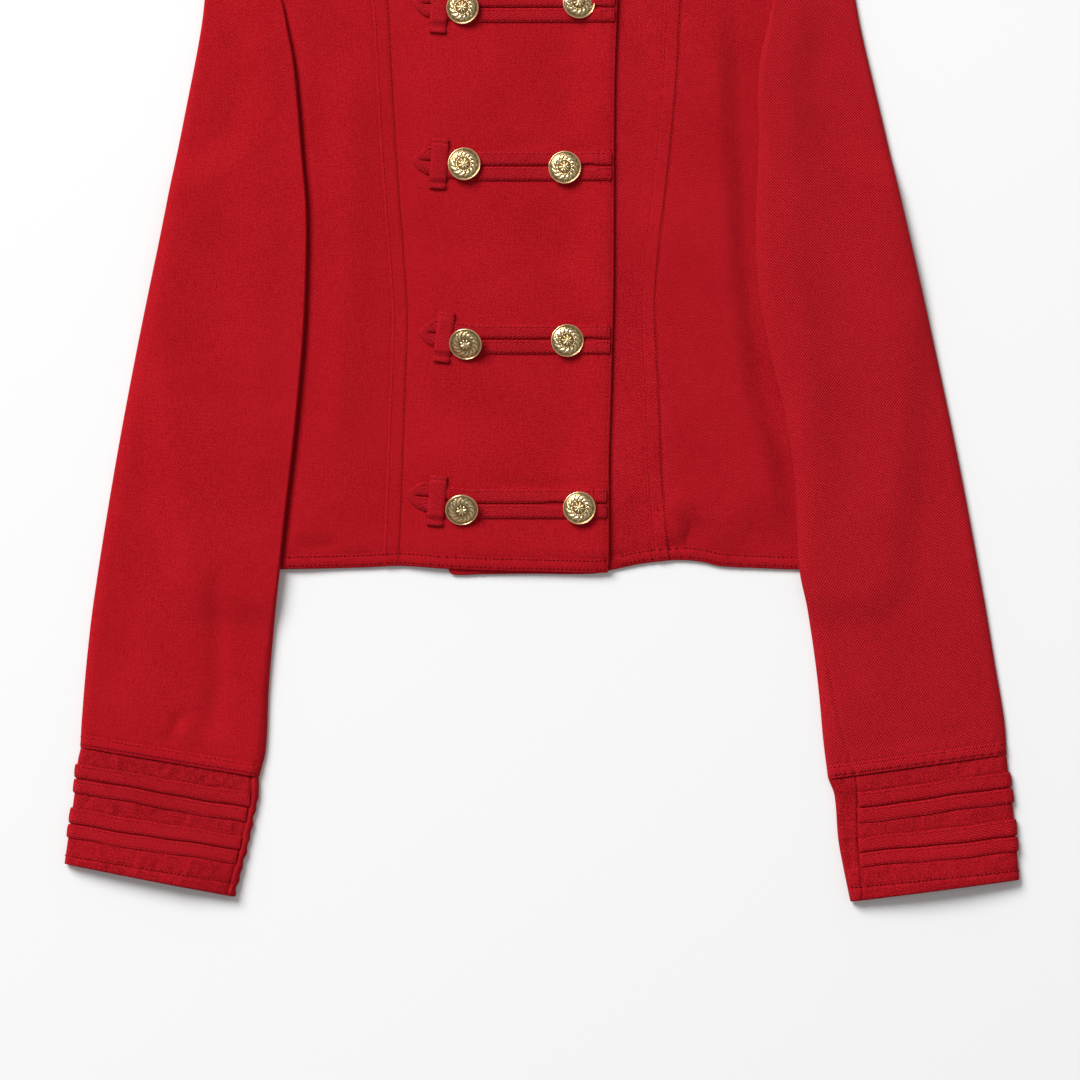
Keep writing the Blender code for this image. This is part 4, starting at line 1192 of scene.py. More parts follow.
def crumples(count, seed):
    """Short random creases of a cuff: where they are, how they run, how long, wide and high."""
    rng = np.random.default_rng(seed)
    place = rng.uniform((4.0, 1.0), (106.0, 73.0), (count, 2))
    turn = rng.normal(1.35, 0.55, count)
    long, wide = rng.uniform(2.2, 5.5, count), rng.uniform(0.9, 1.9, count)
    height = rng.normal(0.0, 0.42, count)
    return list(zip(*place.T, np.cos(turn), np.sin(turn), long, wide, height))


def cuff_relief(crumple, seed, seam):
    """crumple is how strongly the bare cloth is creased."""
    creases = crumples(CREASES, int(10 * seed))

    def relief(_across, _height, row, distance, width):
        slant = distance / width
        down = row * CUFF_LENGTH
        pressed = under_tapes(row, slant)
        small = 0.12 * ripple(distance, 2.6 * down, 8.3, seed)
        for across, at, cosine, sine, long, wide, height in creases:
            a, b = distance - across, down - at
            crease = bump(a * cosine + b * sine, long) * bump(b * cosine - a * sine, wide)
            small = small + height * crease
        from_hem = (row - CUFF_HEM[0] - (CUFF_HEM[1] - CUFF_HEM[0]) * slant) * CUFF_LENGTH
        hem = 0.6 * ease(-0.4, 1.4, from_hem) - 0.45 * bump(from_hem, 0.7)
        hem = hem + 0.25 * ripple(distance, down, 6.0, seed + 1.0) * bump(from_hem, 3.0)
        hem = hem - 0.45 * bump(CUFF_LENGTH - down, 0.8)
        from_cut = width - distance - seam(row)
        joined = 0.3 * bump(from_cut + 2.0, 1.2) - 0.75 * bump(from_cut, 0.55)
        edges = ease(0.5, 6.0, distance) * ease(0.5, 5.0, width - distance) * ease(0.0, 0.03, row)
        bare = (1.0 - pressed) * (crumple * small + 0.15) - 0.65 * pressed
        return edges * bare + hem + joined
    return relief


print("creases on each cuff:", CREASES)

# %% [markdown]
# The cuff is its own tube, a little narrower than the sleeve. Its first rows are drawn in, so they
# end inside the sleeve and no gap shows under the lap. The right cuff's inner edge is scalloped,
# because the ends of the tapes are caught in the seam there and pull at it.

# %% The ends and edges of a cuff
# how far a cuff's hem springs up at its edges, and how much more in its middle
CUFF_SPRING = (1.2, 2.8)
# width, foot and height of the rows that are drawn into the sleeve
TUCKED_WIDTH = 0.97
TUCKED_FOOT = 1.3
TUCKED_HEIGHT = 0.55
SCALLOP = 0.4
SCALLOP_PITCH = 8.8
# shares of the depth above the cuff's own start, for the rows that are tucked into the sleeve
TONGUE = np.array((-0.055, -0.04, -0.025, -0.016, -0.012, -0.009, -0.006, -0.003))


def cuff_foot(row, share):
    """The thick hem of a cuff springs up off the table, most in its middle."""
    low, more = CUFF_SPRING
    return ease(0.45, 1.0, row) * (low + more * np.sin(np.clip(share, 0.0, 1.0) * math.pi))


def tucked(points, rows):
    """Draws the rows above a cuff in, so that they end inside the sleeve."""
    drawn = fall(-0.014, -0.002, rows)[:, None, None]
    middle = points.mean(axis=1, keepdims=True)
    inside = middle + (points - middle) * TUCKED_WIDTH
    inside[..., 2] = TUCKED_FOOT + points[..., 2] * TUCKED_HEIGHT
    return points + (inside - points) * drawn


def scalloped(points, rows):
    """The inner edge of the right cuff, pulled in and out a little by the ends of its tapes."""
    near = fall(0.0, 2.4, points[..., 0].max(axis=1, keepdims=True) - points[..., 0])
    down = rows[:, None] * CUFF_LENGTH
    wave = np.sin(down * 2.0 * math.pi / SCALLOP_PITCH) + 0.4 * np.sin(0.43 * down + 1.0)
    moved = points.copy()
    moved[..., 0] += SCALLOP * near * wave * ease(0.08, 0.16, rows[:, None])
    return moved


print("rows of a cuff that are tucked into its sleeve:", len(TONGUE))

# %% [markdown]
# One function makes both cuffs. They differ in their edges, in the place of the seam and in how
# strongly their cloth is creased.

# %% The cuffs
CUFF_HEIGHT = 4.9


def cuff(label, sign, outer, inner, seam, crumple, seed, outer_round, inner_round):
    """Makes both pieces of a cuff, and gives back its shape for the tapes and stitches."""
    seam = seam_place(seam)
    tube = dict(
        outer=outer, inner=inner, seam=seam, length=CUFF_LENGTH, height=constant(CUFF_HEIGHT),
        crown=constant(0.7), outer_round=constant(outer_round), inner_round=constant(inner_round),
        climb=constant(0.0), foot=cuff_foot, relief=cuff_relief(crumple, seed, seam),
    )
    for part, make, row_step, step in (
        ("upper", upper_piece, 1.0, 1.15), ("under", under_piece, 1.2, 3.0),
    ):
        rows = np.concatenate([TONGUE, spaced((CUFF_LENGTH, row_step))])
        points = tucked(make(tube, rows, step), rows)
        if (label, part) == ("right", "under"):
            points = scalloped(points, rows)
        name = f"{label}_cuff_{part}"
        cut = tube_flat(points, rows, CUFF_LENGTH, sign)
        cloth(name + "_piece", name, points, cut, cuff_twill, face_up=part == "upper")
    return tube


RIGHT_CUFF = cuff(
    "right", -1.0, RIGHT_CUFF_OUTER, RIGHT_CUFF_INNER, seam=((0.0, 4.5), (1.0, 4.5)),
    crumple=1.05, seed=0.7, outer_round=4.6, inner_round=2.4,
)
LEFT_CUFF = cuff(
    "left", 1.0, LEFT_CUFF_OUTER, LEFT_CUFF_INNER,
    seam=((0.0, 16.4), (0.12, 14.4), (0.3, 12.9), (0.5, 11.9), (0.8, 9.2), (1.0, 7.4)),
    crumple=0.6, seed=3.3, outer_round=5.0, inner_round=3.8,
)

# %% [markdown]
# A tape is a narrow woven ribbon, stitched down along both its edges. It could be a box that is
# bent over the cuff, but it is made from the cuff's own surface, moved out by its thickness, so it
# rolls over the cuff's edge with it and never sinks into the cloth.

# %% The cuff tapes
TAPE_SPREAD = 0.005
TAPE_WIDTH = 8.8
TAPE_WANDER = 0.0042
TAPE_CLEAR = 0.15
TAPE_ACROSS = np.array((0.0, 0.04, 0.10, 0.18, 0.30, 0.42, 0.54, 0.66, 0.78, 0.86, 0.93, 1.0))


def wander(distance, pair):
    """A pair of tapes is never sewn on dead straight: how far it strays, as a share of depth."""
    slow, quick = np.sin(distance / 13.0 + 2.4 * pair), np.sin(distance / 5.1 + 4.1 * pair)
    return TAPE_WANDER * (slow + 0.5 * quick)


def tape_points(tube, row, across, distance, lift):
    """A tape's points: share across it, distance from the cuff's outer edge."""
    _, start_out, end_out, start_in, end_in = row
    slant = distance / tube_width(tube, np.array([(start_out + end_in) / 2.0]))[0]
    start = start_out + (start_in - start_out) * slant - TAPE_SPREAD
    end = end_out + (end_in - end_out) * slant + TAPE_SPREAD
    strays = wander(distance, 1.0 + (start_out > 0.4))
    return tube_top(tube, start + (end - start) * across + strays, distance, lift)


def trim(name, stands_for, points, flat, rests_on):
    """A sheet of the narrow woven tape."""
    cloth(name, stands_for, points, flat, red_tape, wall=TRIM)


for label, tube, sign in (("right", RIGHT_CUFF, -1.0), ("left", LEFT_CUFF, 1.0)):
    for number, tape in enumerate(CUFF_TAPES):
        middle = np.array([(tape[1] + tape[4]) / 2.0])
        width, seam = tube_width(tube, middle)[0], tube["seam"](middle)[0]
        near = tube["outer_round"](middle)[0]
        over_edge = near * (1.0 - np.sin(np.linspace(0.0, 1.5, 12)[1:]))
        distance = np.concatenate([np.linspace(width - seam, near, 84), over_edge])
        distance, across = np.meshgrid(distance, TAPE_ACROSS)
        edge = np.minimum(across, 1.0 - across) * TAPE_WIDTH
        lift = TAPE_CLEAR + TRIM + 0.28 * ease(0.0, 1.0, edge) - 0.22 * bump(edge - 1.3, 0.45)
        puckers = ripple(distance, 9.0 * across, 5.4, number + 5.0 + sign) * ease(0.4, 2.2, edge)
        lift = lift + 0.10 * puckers - 0.45 * bump(edge, 0.4)
        name = f"{label}_cuff_{tape[0]}"
        cut = together(sign * (width - distance), -TAPE_WIDTH * across - 20.0 * number)
        points = tape_points(tube, tape, across, distance, lift)
        trim(name + "_ribbon", name, points, cut, f"{label}_cuff_upper_piece")

# %% [markdown]
# A closure is a strip folded to a point. Its two legs lie side by side and the slit between them
# is the buttonhole for both buttons of the row; it gapes a little where a button pulls it. A flat
# bar with a slot cut in it would be quicker, but a grid that runs along the strip and round its
# point keeps the weave and the rows of stitches going round with it.

# %% Where the closures lie
# name, slit height, tip across, tip rise, keeper across, keeper rise, keeper tilt
CLOSURES = (
    ("1", 343.6, -71.0, 3.0, -54.8, 0.0, 4.0),
    ("2", 246.8, -71.8, 4.0, -55.0, 1.5, 4.2),
    ("3", 140.9, -67.8, 4.6, -51.8, 1.4, 6.5),
    ("4", 40.4, -75.3, 5.6, -56.3, 2.0, 5.2),
)
# row, across, half length, half width of the gape
SLIT_GAPES = (
    ("1", 41.0, 6.0, 0.8), ("2", 36.5, 7.0, 1.2), ("3", 36.5, 6.5, 1.1), ("4", 15.5, 9.5, 1.2),
    ("2", 8.0, 8.0, 0.35), ("3", 8.0, 7.0, 0.4),
)
STRAP_HALF = 8.9
STRAP_HALF_SLIT = 0.35
POINT_LENGTH = 11.0
SLIT_END = 6.0
STRAP_RISE_RUN = 42.0
STRAP_END_INSET = 1.6


def slit_half(name, x):
    """Half the width of a row's slit."""
    half = STRAP_HALF_SLIT + 0.0 * x
    for row, across, half_length, gape in SLIT_GAPES:
        if row == name:
            half = half + gape * bump(x - across, half_length / 2.0)
    return half


def strap_rise(row, x):
    """How far a closure's line has risen above its slit: it bends up towards its point."""
    _, _, tip, rise, *_ = row
    return rise * fall(tip, tip + STRAP_RISE_RUN, x)


def strap_line(row, across, x, side):
    """A point of a leg: share across it from the slit outwards."""
    half = slit_half(row[0], x)
    return x, row[1] + side * (half + (STRAP_HALF - half) * across) + strap_rise(row, x)


def strap_end(row):
    """Where a closure ends across, just inside the front edge."""
    return float(along(RIGHT_FRONT_EDGE, row[1])) - STRAP_END_INSET


for row in CLOSURES:
    print(f"closure {row[0]} runs from {row[2]:.1f} to {strap_end(row):.1f} mm across")

# %% [markdown]
# The strip runs from the front edge out to the point on one leg and back on the other. At the
# point its fold is drawn as a fan, halfway between a straight mitre and a round turn.

# %% The closure straps
STRAP_ACROSS = np.array((0.0, 0.05, 0.12, 0.20, 0.32, 0.44, 0.56, 0.68, 0.80, 0.88, 0.95, 1.0))
LEG_WIDTH = 8.5
SLIT_LIP = 0.5


def strap_points(row):
    """The strip's plan: share across it, and stations from the edge round the point and back."""
    tip = row[2]
    xs = np.linspace(strap_end(row), tip + POINT_LENGTH, 66)
    across = STRAP_ACROSS[:, None]
    upper = together(*strap_line(row, across, xs[None, :], 1.0))
    lower = together(*strap_line(row, across, xs[None, ::-1], -1.0))
    inner_tip = np.array([tip + SLIT_END, row[1] + strap_rise(row, tip + SLIT_END)])
    outer_tip = np.array([tip, row[1] + strap_rise(row, tip)])
    tips = (outer_tip * across + inner_tip * (1.0 - across))[:, None, :]
    turn = np.linspace(0.0, math.pi / 2.0, 11)[1:]
    straight = turn / (math.pi / 2.0)
    shares = together(0.5 * (straight + np.sin(turn)), 0.5 * (straight + 1.0 - np.cos(turn)))[None]
    to_tip = upper[:, -1:] + (tips - upper[:, -1:]) * shares
    from_tip = lower[:, :1] + (tips - lower[:, :1]) * shares[:, -2::-1]
    return np.concatenate([upper, to_tip, from_tip, lower], axis=1)


for row in CLOSURES:
    plan = strap_points(row)
    x, y = plan[..., 0], plan[..., 1]
    across = np.broadcast_to(STRAP_ACROSS[:, None], x.shape)
    edge = np.minimum(across, 1.0 - across) * LEG_WIDTH
    lift = 0.1 + TRIM + 0.42 * ease(0.0, 1.7, edge) - 0.20 * bump(edge - 1.4, 0.4)
    lift = lift - 0.4 * bump(edge, 0.4) + 0.7 * bump(x - row[2] - 2.0, 4.5)
    gape = slit_half(row[0], x) - STRAP_HALF_SLIT
    lift = lift + SLIT_LIP * gape * bump(LEG_WIDTH * across, 2.0)
    lift = lift + 0.08 * ripple(x, 4.0 * across, 7.0, float(row[0])) * ease(0.5, 2.0, edge)
    run = distance_run(plan.mean(axis=0))
    cut = together(run[None, :], LEG_WIDTH * across + 40.0 * float(row[0]))
    names = f"closure_{row[0]}_strap", f"closure_strap_{row[0]}"
    trim(*names, on_front(x, y, -1, lift), cut, "right_front_centre_panel")

# %% [markdown]
# A keeper is a short loop across the strap, near its point, and holds it down. Both its ends are
# folded under and stitched down, so each end shows as a small raised bar. It is a grid that lies on
# the front at its ends and steps up over the strap between them.

# %% The keepers
KEEPER_LENGTH = 31.0
KEEPER_WIDTH = 10.2
KEEPER_CLEAR = 0.8
KEEPER_STEP = 3.4
KEEPER_ROW = 2.2
KEEPER_ACROSS = np.array((0.0, 0.05, 0.12, 0.2, 0.35, 0.5, 0.65, 0.8, 0.88, 0.95, 1.0))


def keeper_top(row):
    """How far a keeper reaches up from the middle of its strap."""
    return KEEPER_LENGTH / 2.0 + row[5] - strap_rise(row, row[4])


def keeper_grid(row, side, run):
    """Across and height at a place on a keeper, which is turned by its tilt."""
    slit, across, angle = row[1], row[4], math.radians(row[6])
    x = across + side * math.cos(angle) + run * math.sin(angle)
    return x, slit + strap_rise(row, across) + run * math.cos(angle) - side * math.sin(angle)


for row in CLOSURES:
    top = keeper_top(row)
    runs = np.linspace(top - KEEPER_LENGTH, top, 46)
    side, run = np.meshgrid(KEEPER_WIDTH * (KEEPER_ACROSS - 0.5), runs)
    over = fall(STRAP_HALF + KEEPER_CLEAR, STRAP_HALF + KEEPER_CLEAR + KEEPER_STEP, np.abs(run))
    edge = KEEPER_WIDTH / 2.0 - np.abs(side)
    from_end = np.minimum(top - run, run - top + KEEPER_LENGTH)
    lift = 0.1 + TRIM + (0.45 + TRIM) * over + 0.4 * ease(0.0, 1.8, edge) - 0.4 * bump(edge, 0.4)
    lift = lift + 0.75 * fall(1.8, 2.8, from_end) - 0.3 * bump(from_end - 3.2, 0.5)
    lift = lift - 0.5 * bump(from_end, 0.5) - 0.16 * bump(edge - 1.5, 0.4)
    points = on_front(*keeper_grid(row, side, run), -1, lift)
    cut = together(side + 60.0 * float(row[0]), run)
    names = f"closure_{row[0]}_keeper", f"closure_keeper_{row[0]}"
    trim(*names, points, cut, f"closure_{row[0]}_strap")

# %% [markdown]
# The collar is a straight band that stands up from the neckline and here lies folded back on
# itself, with its two ends at the centre front. It is one long grid: up one arm, round the turn at
# the side of the neck, across the back and down the other arm. The photo ends below it, so its
# form is guessed. Two arms and a back could be modelled apart, but one grid has no seams to hide
# and shows the length of the band as it was cut.

# %% The line of the collar
COLLAR_HEIGHT = 36.0
# how much the upper edge lies above the foot, and how much further the arms open towards the turn
COLLAR_RISE = 4.6
COLLAR_OPEN = 0.8
# degrees: how the collar leans outwards at the side of the neck, and half way along an arm
COLLAR_LEAN = 14.0
COLLAR_SWING = 30.0
COLLAR_GAP = 0.6
SEAM_CLEAR = 0.4
BACK_NECK_STOPS = (-1.0, -0.95, -0.80, -0.55, -0.28, 0.0, 0.28, 0.55, 0.80, 0.95, 1.0)


def above_neckline(x, depth):
    """A place just outside the neckline, square to it."""
    step = 0.1
    slope = float(neck_height(x, depth) - neck_height(x - step, depth)) / step
    if abs(x) >= NECK_HALF - 1e-9:
        slope = math.copysign(math.tan(math.radians(COLLAR_LEAN)), x)
    away = SEAM_CLEAR / math.hypot(1.0, slope)
    return x - slope * away, float(neck_height(x, depth)) + away


def collar_point(station, share):
    """A point of the band at a share of its height; a station is its foot, lean and two levels."""
    x, y, lean, base, top = station
    angle, reach = math.radians(lean), COLLAR_HEIGHT * share
    z = base + (top - base) * share
    return Vector((x + reach * math.sin(angle), y + reach * math.cos(angle), z))


def collar_arm(sign):
    """From the centre front to the side of the neck."""
    arm = []
    for stop in np.interp(np.arange(41) / 4.0, np.arange(11), NECK_STOPS):
        share = math.asin(stop) * 2.0 / math.pi
        lean = COLLAR_SWING * math.sin(share * math.pi) + COLLAR_LEAN * share
        x, y = above_neckline(stop * NECK_HALF, FRONT_NECK_DEPTH)
        x = sign * max(x, COLLAR_GAP / 2.0)
        base = float(front_foot(np.array(x), np.array(y), sign)) + CLOTH / 2.0 + COLLAR_OPEN * share
        arm.append((x, y, -sign * lean, base, base + COLLAR_RISE))
    return arm


print("the collar's arms end %.1f mm apart at the centre front" % COLLAR_GAP)

# %% [markdown]
# At the side of the neck the band turns back on itself. The turn is half a circle between the level
# of the arm and that of the back, so the cloth keeps its thickness round it.

# %% The collar's turn
TURN_STEP = 18


def collar_fold(front, behind, sign):
    """The half turn from an arm down to the back of the collar."""
    def turned(degrees):
        def point(share):
            upper, lower = collar_point(front, share), collar_point(behind, share)
            radius = (upper.z - lower.z) / 2.0
            lean = math.radians(COLLAR_LEAN)
            out = Vector((sign * math.cos(lean), math.sin(lean), 0.0))
            angle = math.radians(degrees)
            turn = out * math.sin(angle) + Vector((0.0, 0.0, math.cos(angle)))
            return (upper + lower) / 2.0 + radius * turn
        return point
    return [turned(degrees) for degrees in range(TURN_STEP, 180, TURN_STEP)]


print("steps of the turn:", 180 // TURN_STEP)

# %% [markdown]
# The collar is one long band that stands on the neckline and lies folded back at both its ends. It
# is made like the other sheets, as a grid: its columns follow the line from the front end of one
# arm, round the back of the neck, to the end of the other. Thickness grows to both sides of it.

# %% The stand collar
COLLAR_ROW = 5.2
right_arm, left_arm = collar_arm(-1), collar_arm(1)
behind = []
for stop in np.interp(np.arange(31) / 3.0, np.arange(11), BACK_NECK_STOPS):
    x, y = above_neckline(float(stop) * NECK_HALF, BACK_NECK_DEPTH)
    behind.append((x, y, -COLLAR_LEAN * float(stop), CLOTH / 2.0, CLOTH / 2.0))
line = [lambda share, s=s: collar_point(s, share) for s in right_arm]
line += collar_fold(right_arm[-1], behind[0], -1)
line += [lambda share, s=s: collar_point(s, share) for s in behind]
line += list(reversed(collar_fold(left_arm[-1], behind[-1], 1)))
line += [lambda share, s=s: collar_point(s, share) for s in reversed(left_arm)]
collar_shares = spaced((5.0, 0.9), (31.0, 1.9), (COLLAR_HEIGHT, 0.8))
band = np.array([[tuple(station(share)) for station in line] for share in collar_shares])
arms = np.zeros(band.shape[:2])
arms[:, : len(right_arm)] = 1.0
arms[:, -len(left_arm):] = 1.0
from_foot = collar_shares[:, None] * COLLAR_HEIGHT
from_top = COLLAR_HEIGHT - from_foot
run = distance_run(band.mean(axis=0))[None, :]
puff = 0.35 * ease(0.0, 2.0, from_top) - 0.3 * bump(from_top - COLLAR_ROW, 0.8)
puff = puff - 0.3 * bump(from_foot - 1.6, 0.7) - 0.3 * bump(from_top, 0.7)
puff = puff + 0.12 * ripple(run, from_top, 6.5, 6.0) * fall(5.0, 9.0, from_top)
band[..., 2] += arms * puff
cut = together(run, from_foot)
cloth("collar_band", "stand_collar", band, cut, red_twill, offset=0.0)

# %% [markdown]
# The buttons are hollow brass domes with a rolled rim and a shank, stamped in a press. Their face
# carries a plain eight-petal rosette in two rings of leaves. It could be sculpted, but the face is
# a polar grid whose height is a function of radius and angle: a motif that repeats round a circle
# is a sine wave, and the same numbers colour the hollows, where polish never reaches.

# %% The button's face
# row, side, across, height, tilt, heading
BUTTONS = (
    ("1", "right", -39.8, 343.6, 10.0, 200.0), ("1", "left", 29.8, 346.3, 9.0, 20.0),
    ("2", "right", -39.5, 247.6, 4.0, 100.0), ("2", "left", 22.1, 245.7, 3.0, 150.0),
    ("3", "right", -38.2, 139.6, 24.0, 255.0), ("3", "left", 23.2, 140.1, 3.0, 0.0),
    ("4", "right", -41.1, 38.6, 24.0, 272.0), ("4", "left", 31.1, 37.9, 4.0, 180.0),
)
PETALS = 8
LEAVES = 14
BEADS = 24


def button_relief(r, angle):
    """Height of the motif: 0 in the hollows, 1 on the highest lines."""
    petal = np.abs(np.cos(angle * PETALS / 2.0)) ** 0.8
    rosette = fall(0.70, 1.0, r / (1.4 + 2.3 * petal))
    rosette = rosette * (0.55 + 0.45 * np.cos(angle * PETALS) * ease(0.6, 2.0, r))
    heart = fall(0.75, 1.15, r)
    along_leaf = (angle * LEAVES / (2.0 * math.pi)) % 1.0
    slope = (r - 6.15) / 1.5 + 1.1 * (along_leaf - 0.5)
    leaf = bump(slope, 0.42) * np.sin(along_leaf * math.pi) ** 0.7
    slope = (r - 7.45) / 0.8 - 0.9 * (along_leaf - 0.5)
    outer_leaf = bump(slope, 0.45) * np.sin(((along_leaf + 0.5) % 1.0) * math.pi) ** 0.8
    bead = bump(r - 4.55, 0.28) * (0.5 + 0.5 * np.cos(angle * BEADS))
    parts = [rosette, heart, 0.95 * leaf, 0.7 * outer_leaf, 0.6 * bead]
    return np.clip(np.maximum.reduce(parts), 0.0, 1.0)


print("buttons:", len(BUTTONS), "with", PETALS, "petals and two rings of", LEAVES, "leaves")

# %% [markdown]
# One outline, from the middle of the face over the rim to the foot of the shank, is turned round
# the axis to a closed shell. The relief is added on the face only, and a value stays on every point
# that says how much polish it gets.

# %% The button's body
BUTTON_RADIUS = 10.15
BUTTON_RIM = 1.5
BUTTON_DOME = 1.9
SHANK_RADIUS = 2.6
SHANK_LENGTH = 3.2
FACE_RADIUS = 9.0
DOME_RADIUS = 9.3
RELIEF_DEPTH = 0.62
ROUND_STEPS = 112


def turned_faces(rings, steps):
    """Faces of a closed shell of rings of points, with a point at each end."""
    faces = [(0, 1 + i, 1 + (i + 1) % steps) for i in range(steps)]
    for low in range(1, 1 + (rings - 1) * steps, steps):
        for i in range(steps):
            j = (i + 1) % steps
            faces.append((low + i, low + steps + i, low + steps + j, low + j))
    last = 1 + (rings - 1) * steps
    return faces + [(last + i, last + steps, last + (i + 1) % steps) for i in range(steps)]


def button_mesh(name):
    """Rings from the middle of the face over the rim to the foot of the shank."""
    rim = SHANK_LENGTH + BUTTON_RIM
    face = np.concatenate([[0.0], np.linspace(0.35, FACE_RADIUS, 36)])
    dome = np.sqrt(np.clip(1.0 - (face / DOME_RADIUS) ** 2, 0.0, 1.0))
    dome = rim + BUTTON_DOME * dome - RELIEF_DEPTH
    side = (
        (9.15, rim + 0.05), (9.28, rim + 0.38), (9.45, rim + 0.62), (9.65, rim + 0.68),
        (9.88, rim + 0.50), (10.05, rim + 0.18), (10.12, rim - 0.25), (10.08, rim - 0.8),
        (9.85, SHANK_LENGTH + 0.15), (9.5, SHANK_LENGTH), (6.0, SHANK_LENGTH - 0.2),
        (SHANK_RADIUS, SHANK_LENGTH - 0.2), (SHANK_RADIUS, 0.4), (2.3, 0.0),
    )
    radius, height = np.concatenate([np.transpose([face, dome]), side]).T
    angle = np.linspace(0.0, 2.0 * math.pi, ROUND_STEPS, endpoint=False)
    r, a = np.meshgrid(radius[1:], angle, indexing="ij")
    on_face = (r <= FACE_RADIUS) * fall(7.9, 8.5, r)
    relief = button_relief(r, a) * on_face
    z = height[1:, None] + RELIEF_DEPTH * relief
    on_rim = ease(9.1, 9.3, r)
    polish = np.where(r <= FACE_RADIUS, np.maximum(relief, 0.18 * (1.0 - on_face)), on_rim)
    rings = together(r * np.cos(a), r * np.sin(a), z).reshape(-1, 3)
    points = np.concatenate([[(0.0, 0.0, height[0] + RELIEF_DEPTH)], rings, [(0.0, 0.0, 0.0)]])
    mesh = bpy.data.meshes.new(name)
    mesh.from_pydata(points.tolist(), [], turned_faces(len(radius) - 1, ROUND_STEPS))
    kept = mesh.attributes.new("polish", "FLOAT", "POINT")
    kept.data.foreach_set("value", np.concatenate([[1.0], polish.ravel(), [0.3]]))
    mesh.shade_smooth()
    return mesh


print("a button is %.1f mm across" % (2.0 * BUTTON_RADIUS))

# %% [markdown]
# Brass has no colour of its own apart from its reflections: the shader is fully metallic, and the
# base colour tints what it reflects. A picture of scratches could be painted on, but a noise that
# is tied to the object needs no picture: it varies the roughness and breaks up the edge of the
# tarnished brown in the hollows.

# %% The brass
def brass_look():
    """Bright metal on what is polished, brown in the hollows."""
    look, tree, shader = new_look("brass", Metallic=1.0)
    polish = node(tree, "ShaderNodeAttribute", attribute_name="polish").outputs["Fac"]
    place = tree.nodes.new("ShaderNodeTexCoord").outputs["Object"]
    stain = noise(tree, place, 420.0, 4.0)
    worn = plus(tree, polish, times(tree, math_node(tree, "SUBTRACT", stain, 0.5), 0.5))
    ramp = node(tree, "ShaderNodeValToRGB", [(0, worn)])
    tarnish, bright = ramp.color_ramp.elements
    tarnish.position, tarnish.color = 0.08, (0.350, 0.205, 0.080, 1.0)
    bright.position, bright.color = 0.62, (0.950, 0.770, 0.440, 1.0)
    tree.links.new(ramp.outputs[0], shader.inputs["Base Color"])
    rough = node(tree, "ShaderNodeMapRange", [(0, stain), (3, 0.20), (4, 0.42)])
    tree.links.new(rough.outputs[0], shader.inputs["Roughness"])
    return look


brass = brass_look()
print("the brass has", len(brass.node_tree.nodes), "nodes")

# %% [markdown]
# Each button is set on the strap of its row. Two of them lean down towards the hem, as their
# outlines show, and all are turned a little differently about their shanks, as sewn buttons are.
# The place goes into the mesh, so the object itself stays at the origin.

# %% The buttons
# how far a button's shank may go down into the cloth, and how far its rim presses into the strap
BUTTON_SINK = 2.2
BUTTON_PRESS = 0.9
for row, side, x, y, tilt, heading in BUTTONS:
    mesh = button_mesh(f"button_{side}_{row}_face")
    lean, way = math.radians(tilt), math.radians(heading)
    axis = Vector((-math.sin(way), math.cos(way), 0.0))
    turn = math.radians(37.0 * float(row) + (19.0 if side == "left" else 0.0))
    lowest = BUTTON_RADIUS * math.sin(lean) - SHANK_LENGTH * math.cos(lean) - BUTTON_PRESS
    seat = float(front_surface(x, y, -1)) + TRIM + max(lowest, -BUTTON_SINK)
    place = Matrix.Translation((Vector((x, y, seat)) + Vector(SHIFT)) * MM)
    turned = Matrix.Rotation(lean, 4, axis) @ Matrix.Rotation(turn, 4, "Z")
    mesh.transform(place @ turned @ Matrix.Scale(MM, 4))
    button = new_object(mesh.name, mesh)
    button.data.materials.append(brass)
    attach(button, "root")
    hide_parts(f"button_{side}_{row}")
print("buttons:", len(BUTTONS), "with", len(mesh.polygons), "faces each")

# %% [markdown]
# Every edge of the jacket is held by a row of stitches, or by two. A row could be a bump in the
# cloth's material, but real threads throw small shadows, so they are made as mesh. The rows are
# first drawn as lines of points on the finished surfaces, sorted by the kind of seam.

# %% Where the rows of stitches run
STITCH_ROWS = {"seam": [], "hem": [], "lap": [], "trim": []}
# shares of a tape's or a leg's width at which its two rows run
ROW_SHARES = (0.16, 0.84)


def add_row(kind, points, lift=0.12):
    """Keeps one row of points, lifted by the thread's own height."""
    STITCH_ROWS[kind].append(points + np.array([0.0, 0.0, lift]))


for row in CLOSURES:
    for place in (KEEPER_ROW, KEEPER_LENGTH - KEEPER_ROW):
        across = np.linspace(1.0 - KEEPER_WIDTH / 2.0, KEEPER_WIDTH / 2.0 - 1.0, 5)
        x, y = keeper_grid(row, across, keeper_top(row) - place)
        add_row("trim", on_front(x, y, -1, TRIM + 0.75))
for side, hem, start, end in ((-1, RIGHT_HEM, -150.0, 48.0), (1, LEFT_HEM, 56.0, 162.0)):
    x = np.linspace(start, end, 90)
    for rise in HEM_ROWS:
        add_row("hem", on_front(x, along(hem, x) + rise, side))
y = np.linspace(3.0, 382.0, 150)
add_row("seam", on_front(along(RIGHT_FRONT_EDGE, y) - EDGE_ROW, y, -1))
y = np.linspace(9.0, 424.0, 170)
for side, princess in ((-1, RIGHT_PRINCESS), (1, LEFT_PRINCESS)):
    for inset in (BAND_STITCH, BAND):
        add_row("seam", on_front(along(princess, y) - side * inset, y, side))
collar_row = band[np.argmin(np.abs(from_top - COLLAR_ROW))]
for arm in (collar_row[: len(right_arm)], collar_row[-len(left_arm):]):
    add_row("seam", arm, CLOTH / 2.0 + 0.1)
print("rows on the body:", {kind: len(rows) for kind, rows in STITCH_ROWS.items()})

